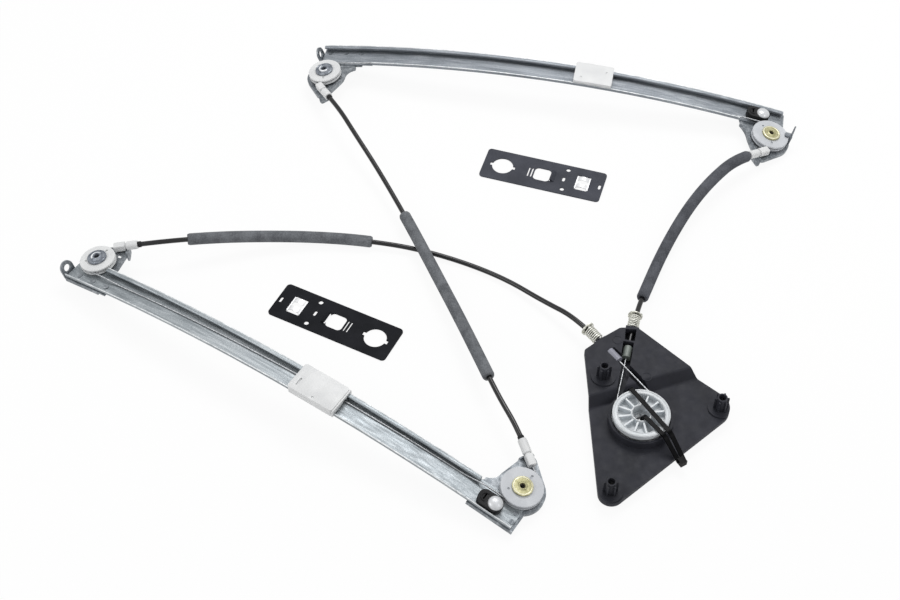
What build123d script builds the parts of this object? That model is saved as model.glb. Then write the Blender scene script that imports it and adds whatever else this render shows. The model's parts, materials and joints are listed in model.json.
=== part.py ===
"""Window regulator: two arched guide rails with sliders, joined by Bowden cables to one cable drum.

Millimetres. The cable drum turns about Z, and the floor that the set lies on is z = 0. The rails run
from their upper ends (-X) to their lower ends (+X). The driving sizes stand first, then the places
worked out from them, then one section per piece.
"""

import os
from math import atan, cos, degrees, radians, sin, tan

from build123d import *

os.makedirs("parts", exist_ok=True)

# ------------------------------------------------------------------ driving sizes

RUNNING_GAP = 0.3  # between pieces that move past each other
SHAFT_GAP = 0.05  # radial, for a part that turns on its pin
FIT_GAP = 0.1  # between fixed pieces that locate each other

# rails
RAIL_RADIUS = 1400.0
RAIL_SHEET = 1.2
RAIL_WIDTH = 26.0
FLANGE_HEIGHT = 4.2
HEM_HEIGHT = 6.9
HEM_REACH = 4.6
HEM_LIP_HEIGHT = 5.2
SHEET_BEND = 1.2
HEM_LIP_BEND = 0.9
RAIL_HALF_LENGTH = 262.0
LOWER_FLANGE_START = 34.0  # where the pulley-side edge ends, measured back from the pulley station
UPPER_FLANGE_START_1 = 25.0
UPPER_FLANGE_START_2 = 53.0
PULLEY_SETBACK = 13.0  # from the rail's end back to the pulley station
UPPER_CUT_2 = 6.0  # rail 2 stops this much shorter at its upper end
CROWN_HEIGHT = 36.0
RAIL_PITCH = -0.86

# end brackets
BRACKET_SHEET = 2.0
SKIRT_DEPTH = 4.6
SKIRT_END = 31.0
RIM_DEPTH = 2.4
RIM_THICKNESS = 1.6
EAR_MARGIN = 3.4
LOWER_BRACKET_BACK = 33.0  # how far the bracket runs back under the rail from its pulley station
UPPER_BRACKET_BACK = 41.0
LOWER_BRACKET_FRONT = 16.0
TAB_WIDTH = 15.0
TAB_REACH = 6.5  # from the bend to the hole
TAB_HOLE = 7.6
TAB_OFFSET_1 = 6.0
TAB_OFFSET_2 = -1.5
TAB_ANGLE = 78.0  # bent up from the rail's line
TAB_GAP = 0.5

# pulleys and their threaded rivets
LOWER_PULLEY_RADIUS = 20.0
UPPER_PULLEY_RADIUS = 18.0
PULLEY_THICKNESS = 6.4
PULLEY_LEVEL = 5.0  # mid-plane over the bracket
GROOVE_DEPTH = 3.3
GROOVE_WIDTH = 2.6
PIN_RADIUS = 5.0
PIN_HEAD_RADIUS = 9.7
PIN_HEAD_HEIGHT = 1.6
PIN_FOOT_RADIUS = 8.0
THREAD_RADIUS = 2.5  # M6, tapped
GUARD_WIDTH = 6.0
GUARD_REACH = 8.0
GUARD_SHIFT = 4.0
GUARD_POINT = 13.0

# cables
CABLE_RADIUS = 0.75
CONDUIT_RADIUS = 2.5
SLEEVE_RADIUS = 6.0
LOWER_FITTING_ANGLE = 143.0
UPPER_FITTING_ANGLE_1 = 36.0
UPPER_FITTING_ANGLE_2 = 48.0
FITTING_WALL = 26.0  # from where the cable leaves its pulley
FITTING_WALL_LOWER_1 = 29.5
FITTING_BEFORE_WALL = 11.0
FERRULE_PAST_WALL = 13.0
FERRULE_PAST_WALL_LOWER_1 = 16.5
FERRULE_RADIUS = 4.4
FITTING_BLOCK = 7.6
FITTING_CORNER = 1.2
CONDUIT_SOCKET = 8.0

# sliders
SLIDER_LENGTH_1 = 50.0
SLIDER_LENGTH_2 = 42.0
SLIDER_ALONG_1 = 44.0  # rest place, from the crown
SLIDER_ALONG_2 = 50.5
SLIDER_PLATE = 3.0
SLIDER_TOP_GAP = 0.5
SLIDER_CHEEK = 1.8
NIPPLE_RADIUS = 2.0
NIPPLE_LENGTH = 8.0

# buffers
BUFFER_LENGTH = 25.0
BUFFER_WIDTH = 15.0
BUFFER_HEIGHT = 7.5
BUFFER_PIN_HEAD = 6.8

# motor plate
PLATE_SKIN = 3.0
PLATE_LOW = 10.5  # top of the lower level
PLATE_HIGH = 21.0  # top of the raised level
PLATE_LIP = 2.5  # edge lip below the skin
RAMP_RUN = 8.5
RAMP_BEND = 3.5
POST_HEIGHT = 17.0
POST_RADIUS = 4.7
POST_HOLE = 3.4
POST_FLANGE = 12.0
POST_RIBS = 6
POST_RIB = (2.2, 1.5)
POST_RIB_DROP = 1.5

# drum
DRUM_RIM_RADIUS = 26.8
DRUM_TOP = 25.0
DRUM_BOTTOM = 9.0
DRUM_FLOOR = 10.0
DRUM_GROOVE_RADIUS = 24.0
DRUM_BORE = 6.0
DRUM_SPIGOT = 10.0
SPLINE_TEETH = 16
DRUM_RIBS = 12
COLLAR_HEIGHT = 19.2
COLLAR_WALL = 2.6
WELL_GAP = 0.8
TIE_WIDTH = 4.2
TIE_THICKNESS = 1.3

# cable exits of the plate
EXIT_ANGLE_A = 125.5
EXIT_ANGLE_B = 76.0
CABLE_LEVEL_A = 18.0
CABLE_LEVEL_B = 15.2
SPRING_RADIUS = 5.2
SPRING_WIRE = 0.6
SPRING_LENGTH = 17.0
SPRING_TURNS = 7.5

# glass clip plates
CLIP_LENGTH = 132.0
CLIP_WIDTH = 42.5
CLIP_SHEET = 1.5

# ------------------------------------------------------------------ places on a rail


class RailFrame:
    """Planes along an arched rail: X runs down the rail, Y crosses it towards the hem, Z leaves it."""

    def __init__(self, x, y, heading):
        turn, dip = radians(heading), radians(RAIL_PITCH)
        self.crown = Vector(x, y, CROWN_HEIGHT)
        self.down = Vector(cos(turn) * cos(dip), sin(turn) * cos(dip), sin(dip))
        self.across = Vector(-sin(turn), cos(turn), 0)
        self.up = self.down.cross(self.across)
        self.centre = self.crown - self.up * RAIL_RADIUS
        self.axis = Axis(self.centre, self.across)

    def station(self, along, x=0.0, y=0.0, z=0.0):
        """The plane tangent to the web's underside at an arc length, moved by x, y, z in itself."""
        angle = along / RAIL_RADIUS
        down = self.down * cos(angle) - self.up * sin(angle)
        up = self.up * cos(angle) + self.down * sin(angle)
        foot = self.centre + up * RAIL_RADIUS
        return Plane(foot + down * x + self.across * y + up * z, x_dir=down, z_dir=up)

    def section(self, along):
        """The plane across the rail: X towards the hem, Y away from the web."""
        here = self.station(along)
        return Plane(here.origin, x_dir=here.y_dir, z_dir=here.x_dir)


def arc_degrees(length):
    return degrees(length / RAIL_RADIUS)


class RailEnd:
    """One end of a rail with its pulley: lower (+1) or upper (-1), pulley on the hem side (+1) or not."""

    wall, past_wall = FITTING_WALL, FERRULE_PAST_WALL
    front, lug, hollow, tab_offset = LOWER_BRACKET_FRONT, 9.0, 12.0, 0.0

    def __init__(self, name, rail, end, side, pulley_x, pulley_y, pulley_radius, fitting_angle):
        self.name, self.rail, self.end, self.side = name, rail, end, side
        self.x, self.y, self.radius = pulley_x, pulley_y, pulley_radius
        self.wrap = pulley_radius - GROOVE_DEPTH + RUNNING_GAP + CABLE_RADIUS
        turn = radians(fitting_angle)
        self.away = Vector(cos(turn), sin(turn) * side)
        self.tangent = Vector(
            pulley_x + end * sin(turn) * self.wrap, pulley_y - end * side * cos(turn) * self.wrap
        )

    @property
    def fitting_start(self):
        return self.wall - FITTING_BEFORE_WALL

    @property
    def ferrule_end(self):
        return self.wall + self.past_wall

    def plane(self, x=0.0, y=0.0, z=0.0):
        return self.rail.station(self.end * PULLEY_STATION, x, y, z)

    def on_fitting(self, distance):
        """A point of the cable's way out, in the end's own plane."""
        return self.tangent + self.away * distance

    def fitting_plane(self, distance, z=PULLEY_LEVEL):
        """The plane square to the cable's way out, X level and Y up."""
        spot = self.on_fitting(distance)
        flat = self.plane(spot.X, spot.Y, z)
        along = flat.x_dir * self.away.X + flat.y_dir * self.away.Y
        return Plane(flat.origin, x_dir=along.cross(flat.z_dir), z_dir=along)

    def tab_plane(self):
        """The fixing tab's plane past the rail's end: X down to the bend, Z towards the rail."""
        bend = self.plane(-self.front, -self.side * self.tab_offset)
        down = bend.x_dir * cos(radians(TAB_ANGLE)) - bend.z_dir * sin(radians(TAB_ANGLE))
        return Plane(bend.origin, x_dir=down, z_dir=down.cross(bend.y_dir))


PULLEY_STATION = RAIL_HALF_LENGTH - PULLEY_SETBACK  # from the crown, along the arc
rail_1_frame = RailFrame(-334.8, 39.5, -33.09)
rail_2_frame = RailFrame(-69.1, 446.7, -10.96)
lower_1 = RailEnd("rail_1_lower", rail_1_frame, 1, 1, 0.5, 25.5, LOWER_PULLEY_RADIUS, LOWER_FITTING_ANGLE)
upper_1 = RailEnd("rail_1_upper", rail_1_frame, -1, 1, 6, 17, UPPER_PULLEY_RADIUS, UPPER_FITTING_ANGLE_1)
lower_2 = RailEnd("rail_2_lower", rail_2_frame, 1, -1, 0.5, -29, LOWER_PULLEY_RADIUS, LOWER_FITTING_ANGLE)
upper_2 = RailEnd("rail_2_upper", rail_2_frame, -1, -1, 3, -31, UPPER_PULLEY_RADIUS, UPPER_FITTING_ANGLE_2)
lower_1.wall, lower_1.past_wall = FITTING_WALL_LOWER_1, FERRULE_PAST_WALL_LOWER_1
lower_2.hollow = 34.0
upper_1.lug = 0.5
upper_1.tab_offset, upper_2.tab_offset = TAB_OFFSET_1, TAB_OFFSET_2
upper_1.front = PULLEY_SETBACK + TAB_GAP
upper_2.front = PULLEY_SETBACK - UPPER_CUT_2 + TAB_GAP
RAIL_ENDS = [lower_1, upper_1, lower_2, upper_2]

# ------------------------------------------------------------------ rails

HALF_WIDTH = RAIL_WIDTH / 2
SHEET_MID = RAIL_SHEET / 2
EDGE_LINE = HALF_WIDTH - SHEET_MID


def rail_web(frame, start):
    """The web's sheet line across the rail."""
    with BuildSketch(frame.section(start)) as web:
        with Locations((0, SHEET_MID)):
            Rectangle(RAIL_WIDTH - 2 * SHEET_BEND, RAIL_SHEET)
    return web.sketch


def flange_line(start):
    with BuildSketch(start) as flange:
        with BuildLine():
            FilletPolyline(
                (-EDGE_LINE, FLANGE_HEIGHT),
                (-EDGE_LINE, SHEET_MID),
                (-EDGE_LINE + 2 * SHEET_BEND, SHEET_MID),
                radius=SHEET_BEND,
            )
        trace(line_width=RAIL_SHEET)
    return flange.sketch


def hem_line(start):
    top = HEM_HEIGHT - SHEET_MID
    with BuildSketch(start) as hem:
        with BuildLine():
            FilletPolyline(
                (EDGE_LINE - 2 * SHEET_BEND, SHEET_MID),
                (EDGE_LINE, SHEET_MID),
                (EDGE_LINE, top),
                (EDGE_LINE - HEM_REACH + RAIL_SHEET, top),
                (EDGE_LINE - HEM_REACH + RAIL_SHEET, HEM_LIP_HEIGHT),
                radius=[SHEET_BEND, SHEET_BEND, HEM_LIP_BEND],
            )
        trace(line_width=RAIL_SHEET)
    return hem.sketch


def make_rail(name, lower, upper, upper_start):
    """A rolled rail: flat web, low flange on one edge, hooked hem on the other."""
    frame, side = lower.rail, lower.side
    whole = (-PULLEY_STATION - upper.front + TAB_GAP, RAIL_HALF_LENGTH)
    short = (-PULLEY_STATION + upper_start, PULLEY_STATION - LOWER_FLANGE_START)
    flange_span, hem_span = (whole, short) if side > 0 else (short, whole)
    with BuildPart() as rail:
        add(rail_web(frame, whole[0]))
        revolve(axis=frame.axis, revolution_arc=arc_degrees(whole[1] - whole[0]))
        for line, (start, stop) in ((flange_line, flange_span), (hem_line, hem_span)):
            add(line(frame.section(start)))
            revolve(axis=frame.axis, revolution_arc=arc_degrees(stop - start))
        edge_fill = HALF_WIDTH - SHEET_BEND
        for start, stop in ((whole[0], short[0]), (short[1], whole[1])):
            with BuildSketch(frame.section(start)):
                with Locations((side * (edge_fill + SHEET_BEND / 2), SHEET_MID)):
                    Rectangle(SHEET_BEND, RAIL_SHEET)
            revolve(axis=frame.axis, revolution_arc=arc_degrees(stop - start))
        for end in (lower, upper):
            with BuildSketch(end.plane(end.x, end.y, -1)):
                Circle(PIN_FOOT_RADIUS + FIT_GAP)
            extrude(amount=RAIL_SHEET + 2, mode=Mode.SUBTRACT)
            for x, y in rivet_spots(end):
                with BuildSketch(end.plane(x, y, -1)):
                    Circle(RIVET_RADIUS)
                extrude(amount=RAIL_SHEET + 2, mode=Mode.SUBTRACT)
            if end.end > 0:
                with BuildSketch(end.plane(BUFFER_X + BUFFER_PIN_X, buffer_y(end), -1)):
                    Circle(BUFFER_STUD)
                extrude(amount=RAIL_SHEET + 2, mode=Mode.SUBTRACT)
    rail.part.label = name
    export_step(rail.part, f"parts/{name}.step")


RIVET_RADIUS = 2.0
RIVET_HEAD = 2.6
RIVET_HEAD_HEIGHT = 0.4
BUFFER_X = -15.0
BUFFER_PIN_X = 5.0
BUFFER_STUD = 3.0


def rivet_spots(end):
    """Where the clinch rivets hold the bracket to the web, in the end's own plane."""
    if end.end > 0:
        return [(10.5, -6.0 * end.side), (9.0, 3.5 * end.side)]
    return [(0.3, -5.5 * end.side), (18.2, -5.5 * end.side), (36.0, -5.5 * end.side)]


def buffer_y(end):
    return -3.5 if end.side > 0 else -1.5


make_rail("rail_1", lower_1, upper_1, UPPER_FLANGE_START_1)
make_rail("rail_2", lower_2, upper_2, UPPER_FLANGE_START_2)

# ------------------------------------------------------------------ end brackets

FITTING_PAD = 7.5
PAD_BACK = 5.0  # the pad's centre lies this far before the fitting's wall
LUG_DEPTH = 4.5
EAR_SLOT = (5.5, 3.4)
EAR_SLOT_BACK = 6.5
EAR_SLOT_ASIDE = 8.5
EDGE_COVER = 0.6  # how far the skirt lies in under the rail's edge
WALL_HEIGHT = PULLEY_LEVEL + FERRULE_RADIUS + 1.0
WALL_SHEET = 1.6
WALL_CORNER = 3.0
NECK_RADIUS = 3.0


def ear_outline(end, margin=0.0):
    """The bracket's ear: round the pulley and the cable's way out, with hollow flanks to the rail's edge."""
    pad = end.on_fitting(end.wall - PAD_BACK)
    reach = end.radius + EAR_MARGIN
    lug = reach + end.lug
    depth = LUG_DEPTH + EAR_MARGIN
    with BuildSketch() as ear:
        with BuildSketch(mode=Mode.PRIVATE) as body:
            with Locations((end.x, end.y)):
                Circle(reach)
            with Locations((pad.X, pad.Y)):
                Circle(FITTING_PAD)
            make_hull()
        add(body.sketch)
        with Locations((end.x - end.end * lug / 2, end.side * (HALF_WIDTH + LUG_DEPTH - depth / 2))):
            Rectangle(lug, depth)
        offset(amount=end.hollow, kind=Kind.ARC, mode=Mode.REPLACE)
        offset(amount=-end.hollow - margin, kind=Kind.ARC, mode=Mode.REPLACE)
    return ear.sketch


def root_span(end):
    """Where the strip under the rail's web starts and ends, in the end's own plane."""
    if end.end > 0:
        return -LOWER_BRACKET_BACK, end.front
    return -end.front, UPPER_BRACKET_BACK


def bracket_root(end):
    """The strip of the bracket under the rail's web."""
    start, stop = root_span(end)
    with BuildSketch() as root:
        with Locations(((start + stop) / 2, 0)):
            Rectangle(stop - start, RAIL_WIDTH + 2 * (RIM_THICKNESS - EDGE_COVER))
    return root.sketch


def make_bracket(end):
    with BuildPart() as bracket:
        with BuildSketch(end.plane(z=-BRACKET_SHEET)):
            add(ear_outline(end))
            add(bracket_root(end))
        extrude(amount=BRACKET_SHEET)
        # turned-down rim round the ear
        with BuildSketch(end.plane(z=-BRACKET_SHEET - RIM_DEPTH)):
            add(ear_outline(end))
            add(ear_outline(end, RIM_THICKNESS), mode=Mode.SUBTRACT)
            add(bracket_root(end), mode=Mode.SUBTRACT)
        extrude(amount=RIM_DEPTH + 0.2)
        # turned-down skirt along the rail's free edge
        start, stop = root_span(end)
        stop = min(stop, SKIRT_END)
        skirt_y = -end.side * (HALF_WIDTH - EDGE_COVER + RIM_THICKNESS / 2)
        with BuildSketch(end.plane((start + stop) / 2, skirt_y, -SKIRT_DEPTH)):
            Rectangle(stop - start, RIM_THICKNESS)
        extrude(amount=SKIRT_DEPTH)
        # upright wall that the cable fitting hooks through
        with BuildSketch(end.fitting_plane(end.wall, z=0)):
            with Locations((0, (WALL_HEIGHT - BRACKET_SHEET) / 2)):
                RectangleRounded(2 * FITTING_PAD, WALL_HEIGHT + BRACKET_SHEET, WALL_CORNER)
        extrude(amount=WALL_SHEET)
        with BuildSketch(end.fitting_plane(end.wall - PAD_BACK / 2, z=-BRACKET_SHEET / 2)):
            Rectangle(2 * FITTING_PAD - 2 * WALL_CORNER, BRACKET_SHEET)
        extrude(amount=PAD_BACK / 2 + WALL_SHEET)
        with BuildSketch(end.fitting_plane(end.wall - 1)):
            Circle(NECK_RADIUS + FIT_GAP)
        extrude(amount=WALL_SHEET + 2, mode=Mode.SUBTRACT)
        # seat of the arched web
        start, stop = root_span(end)
        station = end.end * PULLEY_STATION
        with BuildSketch(end.rail.section(station + start - RAIL_SHEET)):
            with Locations((0, RAIL_SHEET / 2)):
                Rectangle(RAIL_WIDTH + 2 * FIT_GAP, RAIL_SHEET)
        revolve(
            axis=end.rail.axis, revolution_arc=arc_degrees(stop - start + 2 * RAIL_SHEET), mode=Mode.SUBTRACT
        )
        if end is lower_2:
            make_guard(end)
        if end is upper_1:
            slot = end.on_fitting(end.wall - EAR_SLOT_BACK)
            aside = Vector(end.away.Y, -end.away.X) * EAR_SLOT_ASIDE
            with BuildSketch(end.plane(slot.X + aside.X, slot.Y + aside.Y, -BRACKET_SHEET - 1)):
                RectangleRounded(*EAR_SLOT, 1)
            extrude(amount=BRACKET_SHEET + 2, mode=Mode.SUBTRACT)
        if end.end < 0:
            make_tab(end)
        with BuildSketch(end.plane(end.x, end.y, -BRACKET_SHEET - 1)):
            Circle(PIN_RADIUS)
        extrude(amount=BRACKET_SHEET + 2, mode=Mode.SUBTRACT)
        for x, y in rivet_spots(end):
            with BuildSketch(end.plane(x, y, -BRACKET_SHEET - 1)):
                Circle(RIVET_RADIUS)
            extrude(amount=BRACKET_SHEET + 2, mode=Mode.SUBTRACT)
        if end.end > 0:
            with BuildSketch(end.plane(BUFFER_X + BUFFER_PIN_X, buffer_y(end), -BRACKET_SHEET - 1)):
                Circle(BUFFER_STUD)
            extrude(amount=BRACKET_SHEET + 2, mode=Mode.SUBTRACT)
    bracket.part.label = f"{end.name}_bracket"
    export_step(bracket.part, f"parts/{end.name}_bracket.step")


def make_guard(end):
    """A strip bent up outside the pulley and over its edge, with a point standing on it."""
    reach = end.radius + EAR_MARGIN
    top = PULLEY_LEVEL + PULLEY_THICKNESS / 2 + 2 * RUNNING_GAP
    with BuildSketch(end.plane(end.x + reach, end.y - end.side * GUARD_SHIFT)) as post:
        with Locations((-RIM_THICKNESS / 2, 0)):
            Rectangle(RIM_THICKNESS, GUARD_WIDTH)
    extrude(post.sketch, amount=top + RIM_THICKNESS)
    with BuildSketch(end.plane(end.x + reach, end.y - end.side * GUARD_SHIFT, top)) as over:
        with Locations((-GUARD_REACH / 2, 0)):
            RectangleRounded(GUARD_REACH, GUARD_WIDTH, RIM_THICKNESS)
    extrude(over.sketch, amount=RIM_THICKNESS)
    foot = end.plane(end.x + reach - RIM_THICKNESS, end.y - end.side * GUARD_SHIFT, top)
    upright = Plane(foot.origin, x_dir=foot.y_dir * -end.side, z_dir=foot.x_dir * -end.side)
    with BuildSketch(upright) as point:
        with BuildLine():
            Polyline((-GUARD_WIDTH / 3, 0), (GUARD_WIDTH / 3, 0), (GUARD_WIDTH / 2, GUARD_POINT), close=True)
        make_face()
    extrude(point.sketch, amount=-end.side * RIM_THICKNESS)


def make_tab(end):
    """The fixing tab past the end of the rail, bent up from the bracket."""
    with BuildSketch(end.tab_plane().offset(-BRACKET_SHEET)) as tab:
        with Locations((BRACKET_SHEET / 2 - TAB_REACH / 2, 0)):
            Rectangle(TAB_REACH + BRACKET_SHEET, TAB_WIDTH)
        with Locations((-TAB_REACH, 0)):
            Circle(TAB_WIDTH / 2)
            Circle(TAB_HOLE / 2, mode=Mode.SUBTRACT)
    extrude(tab.sketch, amount=BRACKET_SHEET)


for rail_end in RAIL_ENDS:
    make_bracket(rail_end)

# ------------------------------------------------------------------ pulleys, pins, fittings

PULLEY_BASE = PULLEY_LEVEL - PULLEY_THICKNESS / 2
PULLEY_TOP = PULLEY_LEVEL + PULLEY_THICKNESS / 2


def make_pulley(end):
    """A grooved pulley with a boss, a cable slot and two moulding dimples."""
    groove_floor = end.radius - GROOVE_DEPTH
    with BuildPart() as pulley:
        with BuildSketch(end.plane(end.x, end.y, PULLEY_BASE)):
            Circle(end.radius)
        extrude(amount=PULLEY_THICKNESS)
        chamfer(pulley.faces().filter_by(GeomType.CYLINDER).edges(), 0.5)
        with BuildSketch(end.plane(end.x, end.y, PULLEY_LEVEL - GROOVE_WIDTH / 2)):
            Circle(end.radius + 1)
            Circle(groove_floor, mode=Mode.SUBTRACT)
        extrude(amount=GROOVE_WIDTH, mode=Mode.SUBTRACT)
        with BuildSketch(end.plane(end.x, end.y, PULLEY_BASE - 1)):
            Circle(PIN_RADIUS + SHAFT_GAP)
        extrude(amount=PULLEY_THICKNESS + 2, mode=Mode.SUBTRACT)
        with BuildSketch(end.plane(end.x, end.y, PULLEY_TOP - 1.2)):
            with Locations((-groove_floor * 0.55, -end.side * groove_floor * 0.55)):
                Circle(1.2)
            with Locations((groove_floor * 0.1, end.side * groove_floor * 0.8)):
                RectangleRounded(2.2, 4.5, 0.8)
        extrude(amount=2, mode=Mode.SUBTRACT)
    pulley.part.label = f"{end.name}_pulley"
    export_step(pulley.part, f"parts/{end.name}_pulley.step")


def make_pin(end):
    """The threaded rivet that the pulley turns on: foot, shank, head and a tapped hole."""
    foot_height = PULLEY_BASE - RUNNING_GAP
    head_level = PULLEY_TOP + RUNNING_GAP
    with BuildPart() as pin:
        with BuildSketch(end.plane(end.x, end.y, -BRACKET_SHEET)):
            Circle(PIN_RADIUS)
        extrude(amount=BRACKET_SHEET + head_level + PIN_HEAD_HEIGHT)
        with BuildSketch(end.plane(end.x, end.y, 0)):
            Circle(PIN_FOOT_RADIUS)
        extrude(amount=foot_height)
        with BuildSketch(end.plane(end.x, end.y, head_level)):
            Circle(PIN_HEAD_RADIUS)
        extrude(amount=PIN_HEAD_HEIGHT)
        chamfer(pin.faces().filter_by(GeomType.CYLINDER).sort_by(SortBy.AREA)[-1].edges(), 0.3)
        with BuildSketch(end.plane(end.x, end.y, -BRACKET_SHEET - 1)):
            Circle(THREAD_RADIUS)
        extrude(amount=BRACKET_SHEET + head_level + PIN_HEAD_HEIGHT + 2, mode=Mode.SUBTRACT)
    pin.part.label = f"{end.name}_pulley_pin"
    export_step(pin.part, f"parts/{end.name}_pulley_pin.step")


def make_fitting(end):
    """The conduit's end fitting: a block inside the wall, a neck through it and a ferrule outside."""
    with BuildPart() as fitting:
        with BuildSketch(end.fitting_plane(end.fitting_start)):
            RectangleRounded(FITTING_BLOCK, FITTING_BLOCK, FITTING_CORNER)
        extrude(amount=FITTING_BEFORE_WALL)
        with BuildSketch(end.fitting_plane(end.wall)):
            Circle(NECK_RADIUS)
        extrude(amount=WALL_SHEET)
        with BuildSketch(end.fitting_plane(end.wall + WALL_SHEET)):
            Circle(FERRULE_RADIUS)
        extrude(amount=end.past_wall - WALL_SHEET)
        chamfer(fitting.edges().filter_by(GeomType.CIRCLE).group_by(SortBy.RADIUS)[-1], 0.6)
        with BuildSketch(end.fitting_plane(end.fitting_start - 1)):
            Circle(CABLE_RADIUS + RUNNING_GAP)
        extrude(amount=end.ferrule_end, mode=Mode.SUBTRACT)
        with BuildSketch(end.fitting_plane(end.ferrule_end - CONDUIT_SOCKET)):
            Circle(CONDUIT_RADIUS + FIT_GAP)
        extrude(amount=CONDUIT_SOCKET + 1, mode=Mode.SUBTRACT)
    fitting.part.label = f"{end.name}_cable_fitting"
    export_step(fitting.part, f"parts/{end.name}_cable_fitting.step")


for rail_end in RAIL_ENDS:
    make_pulley(rail_end)
    make_pin(rail_end)
    make_fitting(rail_end)

# ------------------------------------------------------------------ rivets and buffers

PLATE_FOOT_HEIGHT = 0.7
DOME_RISE = 2.6
BUFFER_FOOT = 4.5
BUFFER_CORNER = 6.5
SLOT_WIDTH = 1.6


def rivet(plane, grip, shank, head):
    """One clinch rivet through the bracket and the web."""
    with BuildSketch(plane.offset(-BRACKET_SHEET)) as body:
        Circle(shank)
    extrude(body.sketch, amount=grip)
    with BuildSketch(plane.offset(grip - BRACKET_SHEET)) as top:
        Circle(head)
    extrude(top.sketch, amount=RIVET_HEAD_HEIGHT, taper=20)
    with BuildSketch(plane.offset(-BRACKET_SHEET - PLATE_FOOT_HEIGHT)) as foot:
        Circle(head)
    extrude(foot.sketch, amount=PLATE_FOOT_HEIGHT)


def make_rivets(name, ends):
    with BuildPart() as rivets:
        for end in ends:
            for x, y in rivet_spots(end):
                rivet(end.plane(x, y), BRACKET_SHEET + RAIL_SHEET, RIVET_RADIUS, RIVET_HEAD)
    rivets.part.label = name
    export_step(rivets.part, f"parts/{name}.step")


def make_buffer(end, number):
    """The rubber stop at the lower end of the rail and the pin that holds it."""
    y = buffer_y(end)
    with BuildPart() as block:
        with BuildSketch(end.plane(BUFFER_X, y, RAIL_SHEET)):
            RectangleRounded(BUFFER_LENGTH, BUFFER_WIDTH, BUFFER_CORNER)
        extrude(amount=BUFFER_HEIGHT)
        with BuildSketch(end.plane(BUFFER_X + BUFFER_PIN_X, y, 0)):
            Circle(BUFFER_STUD)
        extrude(amount=BUFFER_HEIGHT + 2 * RAIL_SHEET, mode=Mode.SUBTRACT)
        with BuildSketch(end.plane(BUFFER_X - BUFFER_LENGTH / 4, y, RAIL_SHEET + BUFFER_HEIGHT / 2)):
            SlotOverall(BUFFER_WIDTH / 2, SLOT_WIDTH, rotation=90)
        extrude(amount=BUFFER_HEIGHT, mode=Mode.SUBTRACT)
    block.part.label = f"buffer_{number}"
    export_step(block.part, f"parts/buffer_{number}.step")

    top = RAIL_SHEET + BUFFER_HEIGHT
    with BuildPart() as pin:
        with BuildSketch(end.plane(BUFFER_X + BUFFER_PIN_X, y, -BRACKET_SHEET)):
            Circle(BUFFER_STUD)
        extrude(amount=BRACKET_SHEET + top)
        with BuildSketch(end.plane(BUFFER_X + BUFFER_PIN_X, y, top)):
            Circle(BUFFER_PIN_HEAD)
        extrude(amount=DOME_RISE, taper=35)
        with BuildSketch(end.plane(BUFFER_X + BUFFER_PIN_X, y, -BRACKET_SHEET - PLATE_FOOT_HEIGHT)):
            Circle(BUFFER_FOOT)
        extrude(amount=PLATE_FOOT_HEIGHT)
    pin.part.label = f"buffer_pin_{number}"
    export_step(pin.part, f"parts/buffer_pin_{number}.step")


make_rivets("rail_1_rivets", (lower_1, upper_1))
make_rivets("rail_2_rivets", (lower_2, upper_2))
make_buffer(lower_1, 1)
make_buffer(lower_2, 2)

# ------------------------------------------------------------------ sliders

SLIDER_EDGE = HALF_WIDTH + RUNNING_GAP  # inner face of the cheeks
SLIDER_LEVEL = HEM_HEIGHT + SLIDER_TOP_GAP  # underside of the sliding plate
CHANNEL_LEVEL = 3.4  # underside of the block that rides over the cable
COLUMN = (-6.5, 7.2)
COLUMN_2 = (-11.2, 7.2)  # slider 2 holds its cable nearer the low flange
NIPPLE_Y_1 = 3.0
NIPPLE_Y_2 = -8.4
NIPPLE_LEVEL = 5.5
RIB = (-6.5, -0.5)
HOOK_REACH = 3.0  # under the hem's lip


def band(low, high, bottom, top):
    """A rectangle of the slider's section, between two heights and two places across."""
    with Locations(((low + high) / 2, (bottom + top) / 2)):
        Rectangle(high - low, top - bottom)


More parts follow.
